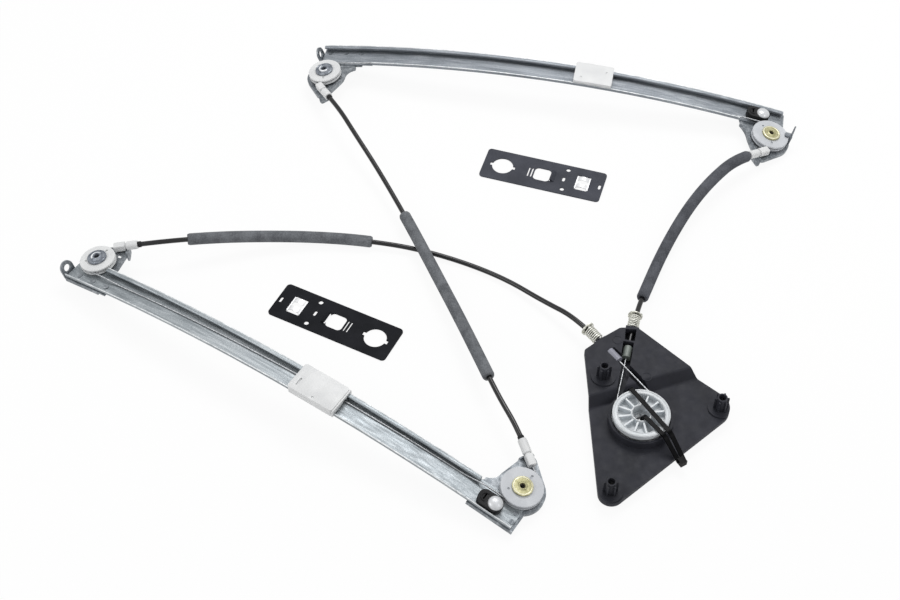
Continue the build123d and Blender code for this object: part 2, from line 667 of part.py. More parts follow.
def make_slider(number, frame, along, length, column, nipple_y):
    """A moulded slider that straddles the rail, hooks under its hem and holds two cable nipples."""
    plate_top = SLIDER_LEVEL + SLIDER_PLATE
    outer = SLIDER_EDGE + SLIDER_CHEEK
    lip_inner = EDGE_LINE - HEM_REACH + RAIL_SHEET / 2
    with BuildPart() as slider:
        with BuildSketch(frame.section(along - length / 2)):
            band(-outer, outer, SLIDER_LEVEL, plate_top)
            if number == 1:
                band(-outer, -SLIDER_EDGE, RAIL_SHEET, SLIDER_LEVEL)
            band(SLIDER_EDGE, outer, RAIL_SHEET, SLIDER_LEVEL)
            band(column[0], min(column[1], lip_inner - RUNNING_GAP), CHANNEL_LEVEL, SLIDER_LEVEL)
            band(RIB[0], RIB[1], RAIL_SHEET + RUNNING_GAP, CHANNEL_LEVEL)
            band(RIB[1], lip_inner + HOOK_REACH, CHANNEL_LEVEL, HEM_LIP_HEIGHT - RUNNING_GAP)
        revolve(axis=frame.axis, revolution_arc=arc_degrees(length))
        with BuildSketch(frame.station(along, z=-plate_top)):
            RectangleRounded(length, 2 * outer, SLIDER_CORNER)
        extrude(amount=3 * plate_top, mode=Mode.INTERSECT)
        for end in (-1, 1):
            mouth = frame.station(along + end * (length / 2 + 1), y=nipple_y, z=NIPPLE_LEVEL)
            into = Plane(mouth.origin, x_dir=mouth.y_dir, z_dir=-end * mouth.x_dir)
            with BuildSketch(into):
                Circle(NIPPLE_RADIUS + FIT_GAP)
            extrude(amount=NIPPLE_LENGTH + 2, mode=Mode.SUBTRACT)
        if number == 1:
            with BuildSketch(frame.station(along, x=-18.4, y=-5.1, z=plate_top - 1.5)):
                SlotOverall(9, 2, rotation=90)
            extrude(amount=4, mode=Mode.SUBTRACT)
            dimples = [(2.2, -12.5)]
        else:
            dimples = [(13.8, 4.4), (-13.3, -7.9)]
        for x, y in dimples:
            with BuildSketch(frame.station(along, x=x, y=y, z=plate_top - 0.8)):
                Circle(1.3)
            extrude(amount=4, mode=Mode.SUBTRACT)
    slider.part.label = f"slider_{number}"
    export_step(slider.part, f"parts/slider_{number}.step")

    with BuildPart() as nipples:
        for end in (-1, 1):
            seat = frame.station(along + end * (length / 2 - NIPPLE_LENGTH), y=nipple_y, z=NIPPLE_LEVEL)
            with BuildSketch(Plane(seat.origin, x_dir=seat.y_dir, z_dir=end * seat.x_dir)):
                Circle(NIPPLE_RADIUS)
            extrude(amount=NIPPLE_LENGTH - RUNNING_GAP)
    nipples.part.label = f"slider_{number}_nipples"
    export_step(nipples.part, f"parts/slider_{number}_nipples.step")


SLIDER_CORNER = 2.5
make_slider(1, rail_1_frame, SLIDER_ALONG_1, SLIDER_LENGTH_1, COLUMN, NIPPLE_Y_1)
make_slider(2, rail_2_frame, SLIDER_ALONG_2, SLIDER_LENGTH_2, COLUMN_2, NIPPLE_Y_2)

# ------------------------------------------------------------------ cables along the rails

CABLE_OVER_WEB = RAIL_SHEET + CABLE_RADIUS + 0.1
RISE_START = 27.0  # where the cable starts to rise to the pulley, measured back from its station
RISE_LENGTH = 22.0
LANDING_RADIUS = 20.0
LANDING_CLEAR = 3.0


def meet(point, way, y):
    """Where a line of an end's plane reaches a place across."""
    return point + way * ((y - point.Y) / way.Y)


def end_points(end, web_y):
    """The cable's corners from its fitting, round the pulley and down on to the web."""
    run_y = end.y - end.side * end.wrap
    corner = meet(end.tangent, end.away, run_y)
    start = end.fitting_plane(end.ferrule_end - CONDUIT_SOCKET).origin
    rise = end.plane(-end.end * RISE_START, run_y, PULLEY_LEVEL).origin
    landing = end.rail.station(
        end.end * (PULLEY_STATION - RISE_START - RISE_LENGTH), y=web_y, z=CABLE_OVER_WEB
    ).origin
    return [start, end.plane(corner.X, corner.Y, PULLEY_LEVEL).origin, rise, landing]


def make_rail_cable(number, lower, upper, lower_y, upper_y):
    """The bare cable of one rail, from one end fitting to the other."""
    first = end_points(lower, lower_y)
    last = end_points(upper, upper_y)
    reach = PULLEY_STATION - RISE_START - RISE_LENGTH
    crest = (RAIL_RADIUS + CABLE_OVER_WEB) / cos(reach / RAIL_RADIUS)
    peak = lower.rail.centre + lower.rail.up * crest + lower.rail.across * ((lower_y + upper_y) / 2)
    arch_tangent = (peak - first[-1]).length - LANDING_CLEAR
    arch_radius = arch_tangent / tan(reach / RAIL_RADIUS)
    with BuildPart() as cable:
        with BuildLine() as route:
            FilletPolyline(
                *first, peak, *last[::-1],
                radius=[lower.wrap, LANDING_RADIUS, LANDING_RADIUS, arch_radius,
                        LANDING_RADIUS, LANDING_RADIUS, upper.wrap],
            )
        with BuildSketch(Plane(route.line @ 0, z_dir=route.line % 0)):
            Circle(CABLE_RADIUS)
        sweep(path=route.line)
    cable.part.label = f"rail_{number}_cable"
    export_step(cable.part, f"parts/rail_{number}_cable.step")


make_rail_cable(1, lower_1, upper_1, 7.0, 2.0)
make_rail_cable(2, lower_2, upper_2, -10.6, -10.6)

# ------------------------------------------------------------------ motor plate

WALL = 2.2
CABLE_WIND_RADIUS = DRUM_GROOVE_RADIUS + RUNNING_GAP + CABLE_RADIUS
WELL_RADIUS = DRUM_RIM_RADIUS + WELL_GAP
COLLAR_RADIUS = WELL_RADIUS + COLLAR_WALL
WELL_FLOOR_TOP = DRUM_BOTTOM - 1.0 - RUNNING_GAP
WELL_FLOOR = 2.7
CHANNEL_FLOOR = 11.0
CHANNEL_SHEET = 2.5
SOCKET_DEPTH = 16.0
EXIT_WIDTH = 13.0
EXIT_BORE = CONDUIT_RADIUS + FIT_GAP
FERRULE_A = (62.0, 76.0)
FERRULE_B = (66.0, 79.0)
CONDUIT_START_A = 80.0
CONDUIT_START_B = 82.0
EXIT_END_A = 91.6
EXIT_END_B = 101.4
PLATE_FERRULE_RADIUS = 4.2
TIE_RADIUS = 28.4
TIE_ANGLE = 107.0
POSTS = [(-32.0, 44.8, PLATE_HIGH), (76.3, 15.6, PLATE_LOW), (-33.0, -75.5, PLATE_LOW)]
EMBOSSED = [(-15.7, 88.1), (8.8, 44.2)]

ramp_cross = Vector(0.947, 0.322).normalized()
ramp_down = Vector(ramp_cross.Y, -ramp_cross.X)
RAMP_TOP = Vector(-47.7, 22.2)


def exit_plane(angle, level, along=0.0):
    """The plane square to a cable that leaves the drum's wound circle at a tangent."""
    sign = 1 if angle > 100 else -1
    spin = radians(angle - sign * 90)
    way = Vector(cos(radians(angle)), sin(radians(angle)))
    spot = Vector(cos(spin), sin(spin)) * CABLE_WIND_RADIUS + way * along
    return Plane((spot.X, spot.Y, level), x_dir=(way.Y, -way.X, 0), z_dir=way)


def exit_a(along=0.0):
    return exit_plane(EXIT_ANGLE_A, CABLE_LEVEL_A, along)


def exit_b(along=0.0):
    return exit_plane(EXIT_ANGLE_B, CABLE_LEVEL_B, along)


def plate_outline(inset=0.0):
    """The outline of the motor plate, with its two long rounded corners."""
    with BuildSketch() as outline:
        with BuildLine():
            FilletPolyline(
                (-48.3, 76), (-27, 93), (-12, 103), (5, 103), (57.5, 50), (95.4, 16.8), (-43.3, -101.4),
                radius=[5, 9, 5, 6, 4, 19, 12],
                close=True,
            )
        make_face()
        if inset:
            offset(amount=-inset, kind=Kind.INTERSECTION, mode=Mode.REPLACE)
    return outline.sketch


plate_span = plate_outline().bounding_box().diagonal  # for cuts right through the plate


def ramp_profile(depth):
    """The plate's section along the ramp: raised level, ramp, lower level, each this thick."""
    side = Plane((RAMP_TOP.X, RAMP_TOP.Y, 0), x_dir=ramp_down, z_dir=-ramp_cross)
    with BuildSketch(side) as profile:
        with BuildLine():
            top = FilletPolyline(
                (-plate_span, PLATE_HIGH), (0, PLATE_HIGH), (RAMP_RUN, PLATE_LOW), (plate_span, PLATE_LOW),
                radius=RAMP_BEND,
            )
            Polyline(
                top @ 1, (plate_span, PLATE_LOW - depth), (RAMP_RUN - depth / 2, PLATE_LOW - depth),
                (-depth / 2, PLATE_HIGH - depth), (-plate_span, PLATE_HIGH - depth), top @ 0,
            )
        make_face()
    return profile.sketch


def channel_outline():
    """The open channel that both cables cross on their way from the drum to their exits."""
    with BuildSketch() as channel:
        with BuildLine():
            Polyline(
                (-26.2, 73.9), (-19.6, 79.5), (-13.1, 71.7), (-10.3, 86), (-8.5, 89.1), (-6.9, 101.3),
                (3.8, 100.8), (0.9, 87.3), (-0.1, 84.5), (-5.8, 57.5), (13.5, 31.0), (18.0, 19.5),
                (-24.0, 14.0), (-14.2, 56.7), (-17.4, 63),
                close=True,
            )
        make_face()
        with BuildLine():
            Polyline((-7.8, 44.2), (-15.0, 27.0), (6.5, 28.0), close=True)
        make_face(mode=Mode.SUBTRACT)
    return channel.sketch


def box_along(plane, start, stop, width, bottom, top):
    """A box along a cable's way out, between two heights over the floor."""
    way = plane.z_dir
    foot = plane.origin + way * start
    with BuildSketch(Plane((foot.X, foot.Y, bottom), x_dir=way, z_dir=(0, 0, 1))) as box:
        with Locations(((stop - start) / 2, 0)):
            Rectangle(stop - start, width)
    return extrude(box.sketch, amount=top - bottom, mode=Mode.PRIVATE)


with BuildPart() as motor_plate:
    # skin with its ramp, then the lip along its edge
    extrude(ramp_profile(PLATE_SKIN), amount=plate_span, both=True)
    with BuildSketch(Plane.XY.offset(-1)):
        add(plate_outline())
    extrude(amount=2 * PLATE_HIGH, mode=Mode.INTERSECT)
    lip = extrude(ramp_profile(PLATE_SKIN + PLATE_LIP), amount=plate_span, both=True, mode=Mode.PRIVATE)
    with BuildSketch(Plane.XY.offset(-1)):
        add(plate_outline())
        add(plate_outline(WALL), mode=Mode.SUBTRACT)
    ring = extrude(amount=2 * PLATE_HIGH, mode=Mode.PRIVATE)
    add(lip & ring)
    # channel block and the two exit housings
    with BuildSketch(Plane.XY.offset(CHANNEL_FLOOR - CHANNEL_SHEET)):
        add(channel_outline())
        offset(amount=WALL, kind=Kind.INTERSECTION)
        add(plate_outline(), mode=Mode.INTERSECT)
    block = extrude(amount=PLATE_HIGH - CHANNEL_FLOOR + CHANNEL_SHEET, mode=Mode.PRIVATE)
    block -= extrude(ramp_profile(-60), amount=plate_span, both=True, mode=Mode.PRIVATE)
    add(block)
    add(box_along(exit_a(), FERRULE_A[0], EXIT_END_A, EXIT_WIDTH, CHANNEL_FLOOR, PLATE_HIGH))
    add(box_along(exit_b(), FERRULE_B[1], EXIT_END_B, EXIT_WIDTH, CHANNEL_FLOOR - CHANNEL_SHEET, PLATE_HIGH))
    # well for the drum
    Cylinder(COLLAR_RADIUS, COLLAR_HEIGHT, align=(Align.CENTER, Align.CENTER, Align.MIN))
    with BuildSketch(Plane.XY.offset(WELL_FLOOR_TOP)):
        Circle(WELL_RADIUS)
    extrude(amount=COLLAR_HEIGHT + PLATE_HIGH, mode=Mode.SUBTRACT)
    with BuildSketch(Plane.XY.offset(-1)):
        Circle(WELL_RADIUS)
    extrude(amount=1 + WELL_FLOOR_TOP - WELL_FLOOR, mode=Mode.SUBTRACT)
    with BuildSketch(Plane.XY):
        Circle(DRUM_SPIGOT)
    extrude(amount=PLATE_HIGH, mode=Mode.SUBTRACT)
    # channel
    with BuildSketch(Plane.XY.offset(CHANNEL_FLOOR)):
        add(channel_outline())
    extrude(amount=PLATE_HIGH, mode=Mode.SUBTRACT)
    # walls that hold the ferrules, and the bores for the conduits
    add(box_along(exit_b(), FERRULE_B[1] + 3, FERRULE_B[1] + 5, EXIT_WIDTH, CHANNEL_FLOOR, PLATE_HIGH))
    for port, ferrule, last in ((exit_a, FERRULE_A, EXIT_END_A), (exit_b, FERRULE_B, EXIT_END_B)):
        with BuildSketch(port(ferrule[0] - SOCKET_DEPTH)):
            Circle(PLATE_FERRULE_RADIUS + FIT_GAP)
        extrude(amount=ferrule[1] - ferrule[0] + SOCKET_DEPTH, mode=Mode.SUBTRACT)
        with BuildSketch(port(ferrule[0])):
            Circle(EXIT_BORE)
        extrude(amount=last - ferrule[0] + 5, mode=Mode.SUBTRACT)
    # slot for the tie beside the drum
    with BuildSketch(Plane.XY.offset(-1)):
        with PolarLocations(TIE_RADIUS, 1, start_angle=TIE_ANGLE):
            Rectangle(3.2, TIE_WIDTH + 1.2)
    extrude(amount=2 * PLATE_HIGH, mode=Mode.SUBTRACT)
    # fixing posts
    for x, y, base in POSTS:
        with BuildSketch(Plane.XY.offset(base - PLATE_SKIN)):
            with Locations((x, y)):
                Circle(POST_RADIUS)
        extrude(amount=POST_HEIGHT + PLATE_SKIN)
        with BuildSketch(Plane.XY.offset(base)):
            with Locations((x, y)):
                with PolarLocations(POST_RADIUS + POST_RIB[0] / 2 - FIT_GAP, POST_RIBS):
                    Rectangle(POST_RIB[0], POST_RIB[1])
        extrude(amount=POST_HEIGHT - POST_RIB_DROP)
        with BuildSketch(Plane.XY.offset(base - PLATE_SKIN / 2)):
            with Locations((x, y)):
                Circle(POST_FLANGE)
            add(plate_outline(), mode=Mode.INTERSECT)
        extrude(amount=PLATE_SKIN)
        with BuildSketch(Plane.XY):
            with Locations((x, y)):
                Circle(POST_HOLE)
        extrude(amount=base + POST_HEIGHT + 1, mode=Mode.SUBTRACT)
    for x, y in EMBOSSED:
        with BuildSketch(Plane.XY.offset(PLATE_HIGH)):
            with Locations((x, y)):
                Circle(5.0)
                Circle(4.2, mode=Mode.SUBTRACT)
        extrude(amount=0.3)
motor_plate.part.label = "motor_plate"
export_step(motor_plate.part, "parts/motor_plate.step")
print("motor plate solids", len(motor_plate.part.solids()), "volume", round(motor_plate.part.volume))

# ------------------------------------------------------------------ drum

DRUM_FLANGE_LOW = 13.2
DRUM_FLANGE_HIGH = 20.4
HUB_OUTER = 9.9
HUB_CUP = 8.4
HUB_CUP_DEPTH = 10.0
RECESS_OUTER = 21.8
RIB_THICKNESS = 1.6
RIB_DROP = 0.8
SPLINE_DEPTH = 1.0

with BuildPart() as cable_drum:
    with BuildSketch(Plane.XY.offset(WELL_FLOOR_TOP + RUNNING_GAP)):
        Circle(DRUM_RIM_RADIUS)
    extrude(amount=DRUM_TOP - WELL_FLOOR_TOP - RUNNING_GAP)
    with BuildSketch(Plane.XY.offset(DRUM_FLANGE_LOW)):
        Circle(DRUM_RIM_RADIUS + 1)
        Circle(DRUM_GROOVE_RADIUS, mode=Mode.SUBTRACT)
    extrude(amount=DRUM_FLANGE_HIGH - DRUM_FLANGE_LOW, mode=Mode.SUBTRACT)
    # annular recess with radial ribs
    with BuildSketch(Plane.XY.offset(DRUM_BOTTOM + DRUM_FLOOR)):
        Circle(RECESS_OUTER)
        Circle(HUB_OUTER, mode=Mode.SUBTRACT)
    extrude(amount=DRUM_TOP, mode=Mode.SUBTRACT)
    with BuildSketch(Plane.XY.offset(DRUM_BOTTOM + DRUM_FLOOR)):
        with PolarLocations((RECESS_OUTER + HUB_OUTER) / 2, DRUM_RIBS, start_angle=8):
            Rectangle(RECESS_OUTER - HUB_OUTER + 0.8, RIB_THICKNESS)
    extrude(amount=DRUM_TOP - DRUM_BOTTOM - DRUM_FLOOR - RIB_DROP)
    # spigot that turns in the plate
    with BuildSketch(Plane.XY.offset(WELL_FLOOR_TOP - WELL_FLOOR)):
        Circle(DRUM_SPIGOT - SHAFT_GAP)
    extrude(amount=WELL_FLOOR + RUNNING_GAP + 0.1)
    # cup and splined bore
    with BuildSketch(Plane.XY.offset(DRUM_TOP - HUB_CUP_DEPTH)):
        Circle(HUB_CUP)
    extrude(amount=HUB_CUP_DEPTH, mode=Mode.SUBTRACT)
    with BuildSketch(Plane.XY):
        Circle(DRUM_BORE)
        with PolarLocations(DRUM_BORE + SPLINE_DEPTH / 2 - 0.1, SPLINE_TEETH):
            Rectangle(SPLINE_DEPTH, 1.1)
    extrude(amount=DRUM_TOP, mode=Mode.SUBTRACT)
cable_drum.part.label = "cable_drum"
export_step(cable_drum.part, "parts/cable_drum.step")

with BuildPart() as wound_cable:
    for level in (CABLE_LEVEL_A, CABLE_LEVEL_B):
        with Locations((0, 0, level)):
            Torus(CABLE_WIND_RADIUS, CABLE_RADIUS)
wound_cable.part.label = "wound_cable"
export_step(wound_cable.part, "parts/wound_cable.step")

# ------------------------------------------------------------------ cables, ferrules and springs of the plate

CABLE_START = 10.5
CAP_RADIUS = 6.3
CAP_LENGTH = 1.6
CAP_PLAY = 0.9  # the conduit bends inside its washer

for letter, port, ferrule, conduit_start, exit_end in (
    ("a", exit_a, FERRULE_A, CONDUIT_START_A, EXIT_END_A),
    ("b", exit_b, FERRULE_B, CONDUIT_START_B, EXIT_END_B),
):
    with BuildPart() as drum_cable:
        with BuildSketch(port(CABLE_START)):
            Circle(CABLE_RADIUS)
        extrude(amount=conduit_start - CABLE_START)
    drum_cable.part.label = f"drum_cable_{letter}"
    export_step(drum_cable.part, f"parts/drum_cable_{letter}.step")

    with BuildPart() as plate_ferrule:
        with BuildSketch(port(ferrule[0])):
            Circle(PLATE_FERRULE_RADIUS)
            Circle(CABLE_RADIUS + FIT_GAP, mode=Mode.SUBTRACT)
        extrude(amount=ferrule[1] - ferrule[0])
    plate_ferrule.part.label = f"plate_ferrule_{letter}"
    export_step(plate_ferrule.part, f"parts/plate_ferrule_{letter}.step")

    spring_start = exit_end + SPRING_WIRE + FIT_GAP
    pitch = (SPRING_LENGTH - 2 * SPRING_WIRE) / SPRING_TURNS
    with BuildPart() as tension_spring:
        with BuildLine() as coil:
            Helix(
                pitch, pitch * SPRING_TURNS, SPRING_RADIUS,
                center=port(spring_start).origin, direction=port().z_dir,
            )
        with BuildSketch(Plane(coil.line @ 0, z_dir=coil.line % 0)):
            Circle(SPRING_WIRE)
        sweep(path=coil.line)
    tension_spring.part.label = f"tension_spring_{letter}"
    export_step(tension_spring.part, f"parts/tension_spring_{letter}.step")

    with BuildPart() as spring_cap:
        with BuildSketch(port(spring_start + pitch * SPRING_TURNS + SPRING_WIRE + FIT_GAP)):
            Circle(CAP_RADIUS)
            Circle(CONDUIT_RADIUS + CAP_PLAY, mode=Mode.SUBTRACT)
        extrude(amount=CAP_LENGTH)
    spring_cap.part.label = f"spring_cap_{letter}"
    export_step(spring_cap.part, f"parts/spring_cap_{letter}.step")

# ------------------------------------------------------------------ retaining tie

TIE_LEVEL = 3.2  # under the well's floor
TIE_OVER_DRUM = DRUM_TOP + RUNNING_GAP + TIE_THICKNESS
TIE_HEAD = (8.0, 6.6, 6.0)
TIE_HEAD_PLACE = Vector(34.5, -43.0)
TIE_HEAD_LEVEL = 10.0
TIE_FALL = 22.0  # length over which the strands come down to the head
STRAND_ASIDE = 2.6  # each strand, from the middle of the head
BORE_ASIDE = 3.0
leg = Vector(TIE_RADIUS, 0).rotate(Axis.Z, TIE_ANGLE)


def strap(start, way, points, bends):
    """A flat strap bent in one upright plane; points are distances along the way and heights."""
    side = Plane((start.X, start.Y, 0), x_dir=way, z_dir=way.cross(Vector(0, 0, 1)))
    with BuildSketch(side) as ribbon:
        with BuildLine():
            FilletPolyline(*points, radius=bends)
        trace(line_width=TIE_THICKNESS)
    return extrude(ribbon.sketch, amount=TIE_WIDTH / 2, both=True, mode=Mode.PRIVATE)


middle = (TIE_HEAD_PLACE - leg).normalized()
aside = Vector(middle.Y, -middle.X) * STRAND_ASIDE
bore = leg.normalized() * -BORE_ASIDE
over, across_hub = TIE_HEAD_PLACE - aside - leg, TIE_HEAD_PLACE + aside - bore
with BuildPart() as retaining_tie:
    # up beside the drum, over it and down to the head
    add(strap(leg, over.normalized(), [
        (0, TIE_LEVEL), (0, TIE_OVER_DRUM), (over.length - TIE_FALL, TIE_OVER_DRUM),
        (over.length, TIE_HEAD_LEVEL),
    ], [TIE_THICKNESS, TIE_FALL / 2]))
    # under the well and up into the bore
    add(strap(leg, -leg.normalized(), [
        (-TIE_THICKNESS / 2, TIE_LEVEL), (TIE_RADIUS + BORE_ASIDE, TIE_LEVEL),
        (TIE_RADIUS + BORE_ASIDE, DRUM_TOP - HUB_CUP_DEPTH),
    ], [TIE_THICKNESS]))
    # out of the bore, over the hub and down to the head
    add(strap(bore, across_hub.normalized(), [
        (0, DRUM_TOP - HUB_CUP_DEPTH - TIE_THICKNESS), (0, DRUM_TOP - TIE_THICKNESS),
        (2 * TIE_THICKNESS, TIE_OVER_DRUM), (across_hub.length - TIE_FALL, TIE_OVER_DRUM),
        (across_hub.length, TIE_HEAD_LEVEL),
    ], [TIE_THICKNESS, TIE_THICKNESS, TIE_FALL / 2]))
    head_turn = degrees(atan(middle.Y / middle.X))
    with Locations(Location((TIE_HEAD_PLACE.X, TIE_HEAD_PLACE.Y, TIE_HEAD_LEVEL), (0, 0, head_turn))):
        Box(*TIE_HEAD)
retaining_tie.part.label = "retaining_tie"
export_step(retaining_tie.part, "parts/retaining_tie.step")
print("tie solids", len(retaining_tie.part.solids()))

# ------------------------------------------------------------------ glass clip plates

CLIP_PLACES = [((-77, 326), degrees(-0.30)), ((-290, 126), degrees(-0.47) + 180)]
CLIP_CORNER = 4.0
KEYHOLE_X = -45.0
KEYHOLE_RADIUS = 11.3
KEYHOLE_NOTCH = (27.6, 4.4)
SLITS_X = (-16.0, -12.4)
SLIT = (13.5, 1.5)
WINDOW_X = -1.0
WINDOW = (18.0, 18.0)
WINDOW_CORNER = 4.5
FLAP = (4.0, 14.0)  # bent up along the window's far edge
FLAP_ANGLE = 55.0
SMALL_SLOT = (22.8, 6.5, 3.0)
SCREW_HOLES = (24.5, 14.5, 2.4)
CLIP_X = 43.5
CLIP_OPENING = (15.0, 21.0)
END_SLOT = (62.0, 7.0, 2.8)
SPRING_STRIP = 0.8
SPRING_ARCH = 3.2


def clip_plate_outline(base):
    """The flat of a glass clip plate with its openings."""
    with BuildSketch(base) as outline:
        RectangleRounded(CLIP_LENGTH, CLIP_WIDTH, CLIP_CORNER)
        with Locations((KEYHOLE_X, 0)):
            Circle(KEYHOLE_RADIUS, mode=Mode.SUBTRACT)
            Rectangle(*KEYHOLE_NOTCH, mode=Mode.SUBTRACT)
        with Locations([(x, 0) for x in SLITS_X]):
            SlotOverall(*SLIT, rotation=90, mode=Mode.SUBTRACT)
        with Locations((WINDOW_X, 0)):
            RectangleRounded(*WINDOW, WINDOW_CORNER, mode=Mode.SUBTRACT)
        with Locations((WINDOW_X + WINDOW[0] / 2 + FLAP[0] / 2, 0)):
            Rectangle(FLAP[0] + FIT_GAP, FLAP[1], mode=Mode.SUBTRACT)
        for x, length, width in (SMALL_SLOT, END_SLOT):
            with Locations((x, 0)):
                SlotOverall(length, width, rotation=90, mode=Mode.SUBTRACT)
        with Locations((SCREW_HOLES[0], SCREW_HOLES[1]), (SCREW_HOLES[0], -SCREW_HOLES[1])):
            Circle(SCREW_HOLES[2], mode=Mode.SUBTRACT)
        with Locations((CLIP_X, 0)):
            RectangleRounded(*CLIP_OPENING, CLIP_SHEET, mode=Mode.SUBTRACT)
    return outline.sketch


for number, ((x, y), turn) in enumerate(CLIP_PLACES, start=1):
    base = Plane((x, y, 0), x_dir=(cos(radians(turn)), sin(radians(turn)), 0), z_dir=(0, 0, 1))
    hinge_x = WINDOW_X + WINDOW[0] / 2 + FLAP[0]
    with BuildPart() as clip_plate:
        add(clip_plate_outline(base))
        extrude(amount=CLIP_SHEET)
        # the flap beside the window, bent up
        side = Plane(base.origin + base.x_dir * hinge_x - base.y_dir * FLAP[1] / 2,
                     x_dir=base.x_dir, z_dir=base.y_dir * -1)
        with BuildSketch(side):
            with BuildLine():
                Polyline(
                    (CLIP_SHEET, 0), (CLIP_SHEET, CLIP_SHEET),
                    (-FLAP[0] * cos(radians(FLAP_ANGLE)), CLIP_SHEET + FLAP[0] * sin(radians(FLAP_ANGLE))),
                    (-CLIP_SHEET - FLAP[0] * cos(radians(FLAP_ANGLE)), FLAP[0] * sin(radians(FLAP_ANGLE))),
                    (-CLIP_SHEET, 0),
                    close=True,
                )
            make_face()
        extrude(amount=-FLAP[1])
    clip_plate.part.label = f"glass_clip_plate_{number}"
    export_step(clip_plate.part, f"parts/glass_clip_plate_{number}.step")

    # a strip spring across the opening: two feet on the plate's edges and an arched back
    with BuildPart() as clip_spring:
        for side_y in (-1, 1):
            strip = Plane(
                base.origin + base.x_dir * CLIP_X + base.y_dir * side_y * CLIP_OPENING[1] / 4,
                x_dir=base.x_dir, z_dir=base.y_dir * -1,
            )
            with BuildSketch(strip):
                with BuildLine():
                    ThreePointArc(
                        (-CLIP_OPENING[0] / 2 + SPRING_STRIP, SPRING_STRIP / 2),
                        (0, SPRING_ARCH),
                        (CLIP_OPENING[0] / 2 - SPRING_STRIP, SPRING_STRIP / 2),
                    )
                trace(line_width=SPRING_STRIP)
            extrude(amount=CLIP_OPENING[1] / 8, both=True)
        with BuildSketch(base):
            with Locations((CLIP_X - CLIP_OPENING[0] / 2 + SPRING_STRIP, 0),
                           (CLIP_X + CLIP_OPENING[0] / 2 - SPRING_STRIP, 0)):
                Rectangle(2 * SPRING_STRIP - 2 * FIT_GAP, CLIP_OPENING[1] - 2 * CLIP_SHEET)
        extrude(amount=CLIP_SHEET)
    clip_spring.part.label = f"glass_clip_spring_{number}"
    export_step(clip_spring.part, f"parts/glass_clip_spring_{number}.step")

# ------------------------------------------------------------------ conduits and their foam sleeves


def bend_radii(points):
    """Each corner's arc, as large as its two runs allow."""
    radii = []
    for before, here, after in zip(points, points[1:], points[2:]):
        into, out = here - before, after - here
        shorter = min(into.length, out.length)
        radii.append(0.45 * shorter / tan(radians(into.get_angle(out)) / 2))
    return radii


def tube(points, radii, outer, inner):
    with BuildPart() as body:
        with BuildLine() as route:
            FilletPolyline(*points, radius=radii)
        with BuildSketch(Plane(route.line @ 0, z_dir=route.line % 0)):
            Circle(outer)
            if inner:
                Circle(inner, mode=Mode.SUBTRACT)
        sweep(path=route.line)
    return body.part, sum(edge.length for edge in route.line.edges())


def make_conduit(letter, points, sleeve):
    """A conduit along its whole route, and the foam sleeve round part of it."""
    points = [Vector(*point) for point in points]
    radii = bend_radii(points)
    part, length = tube(points, radii, CONDUIT_RADIUS, 0)
    part.label = f"conduit_{letter}"
    export_step(part, f"parts/conduit_{letter}.step")
    print(f"conduit {letter}: length {length:.0f}, radii", [round(r) for r in radii],
          "volume", round(part.volume), "section x length", round(3.14159 * CONDUIT_RADIUS**2 * length))
    (first, first_share), (last, last_share) = sleeve
    start = points[first] + (points[first + 1] - points[first]) * first_share
    stop = points[last] + (points[last + 1] - points[last]) * last_share
    cover = [start, *points[first + 1:last + 1], stop]
    part, length = tube(cover, radii[first:last], SLEEVE_RADIUS, CONDUIT_RADIUS + FIT_GAP)
    part.label = f"sleeve_{letter}"
    export_step(part, f"parts/sleeve_{letter}.step")
    print(f"sleeve {letter}: length {length:.0f}")


def fitting_run(end, run):
    """A conduit's first two points: its end in the fitting, and a point straight out of it."""
    start = end.ferrule_end - CONDUIT_SOCKET
    return [tuple(end.fitting_plane(start).origin), tuple(end.fitting_plane(start + run).origin)]


def plate_run(port, start, run):
    return [tuple(port(start + run).origin), tuple(port(start).origin)]


def between(first, last, steps):
    """Points between two others: share of the level way, offset to its left, height over the floor."""
    way = Vector(last[0] - first[0], last[1] - first[1], 0)
    left = Vector(-way.Y, way.X, 0).normalized()
    foot = Vector(first[0], first[1], 0)
    return [tuple(foot + way * share + left * out + Vector(0, 0, height)) for share, out, height in steps]


start_a, stop_a = fitting_run(upper_1, 31), plate_run(exit_a, CONDUIT_START_A, 45)
make_conduit("a", [*start_a, *between(start_a[1], stop_a[0], [
    (0.117, 22.1, 24.0), (0.225, 41.6, 15.0), (0.339, 56.7, 8.6), (0.452, 63.5, 7.3),
    (0.574, 65.9, 5.6), (0.7, 60.4, 3.0), (0.814, 45.6, 4.4), (0.91, 22.7, 8.3),
]), *stop_a], ((1, 0.5), (5, 0.5)))
start_b, stop_b = fitting_run(lower_2, 25), plate_run(exit_b, CONDUIT_START_B, 42)
make_conduit("b", [*start_b, *between(start_b[1], stop_b[0], [
    (0.172, -10.1, 20.0), (0.341, -14.9, 16.0), (0.517, -15.0, 11.0), (0.678, -12.0, 8.6), (0.825, -6.8, 10.0),
]), *stop_b], ((0, 0.4), (6, 0.5)))
start_c, stop_c = fitting_run(lower_1, 22), fitting_run(upper_2, 31)[::-1]
make_conduit("c", [*start_c, *between(start_c[1], stop_c[0], [
    (0.079, 1.2, 23.0), (0.193, -2.0, 21.0), (0.315, -5.7, 16.0), (0.446, -8.1, 13.0),
    (0.585, -9.7, 12.8), (0.701, -9.1, 15.0), (0.811, -6.9, 19.0), (0.91, -2.6, 24.5),
]), *stop_c], ((2, 0.5), (6, 0.5)))
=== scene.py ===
"""Looks of the window regulator: camera, light, finishes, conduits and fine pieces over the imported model."""

import json
from math import cos, degrees, pi, radians, sin

import bmesh
import bpy
from mathutils import Matrix, Vector

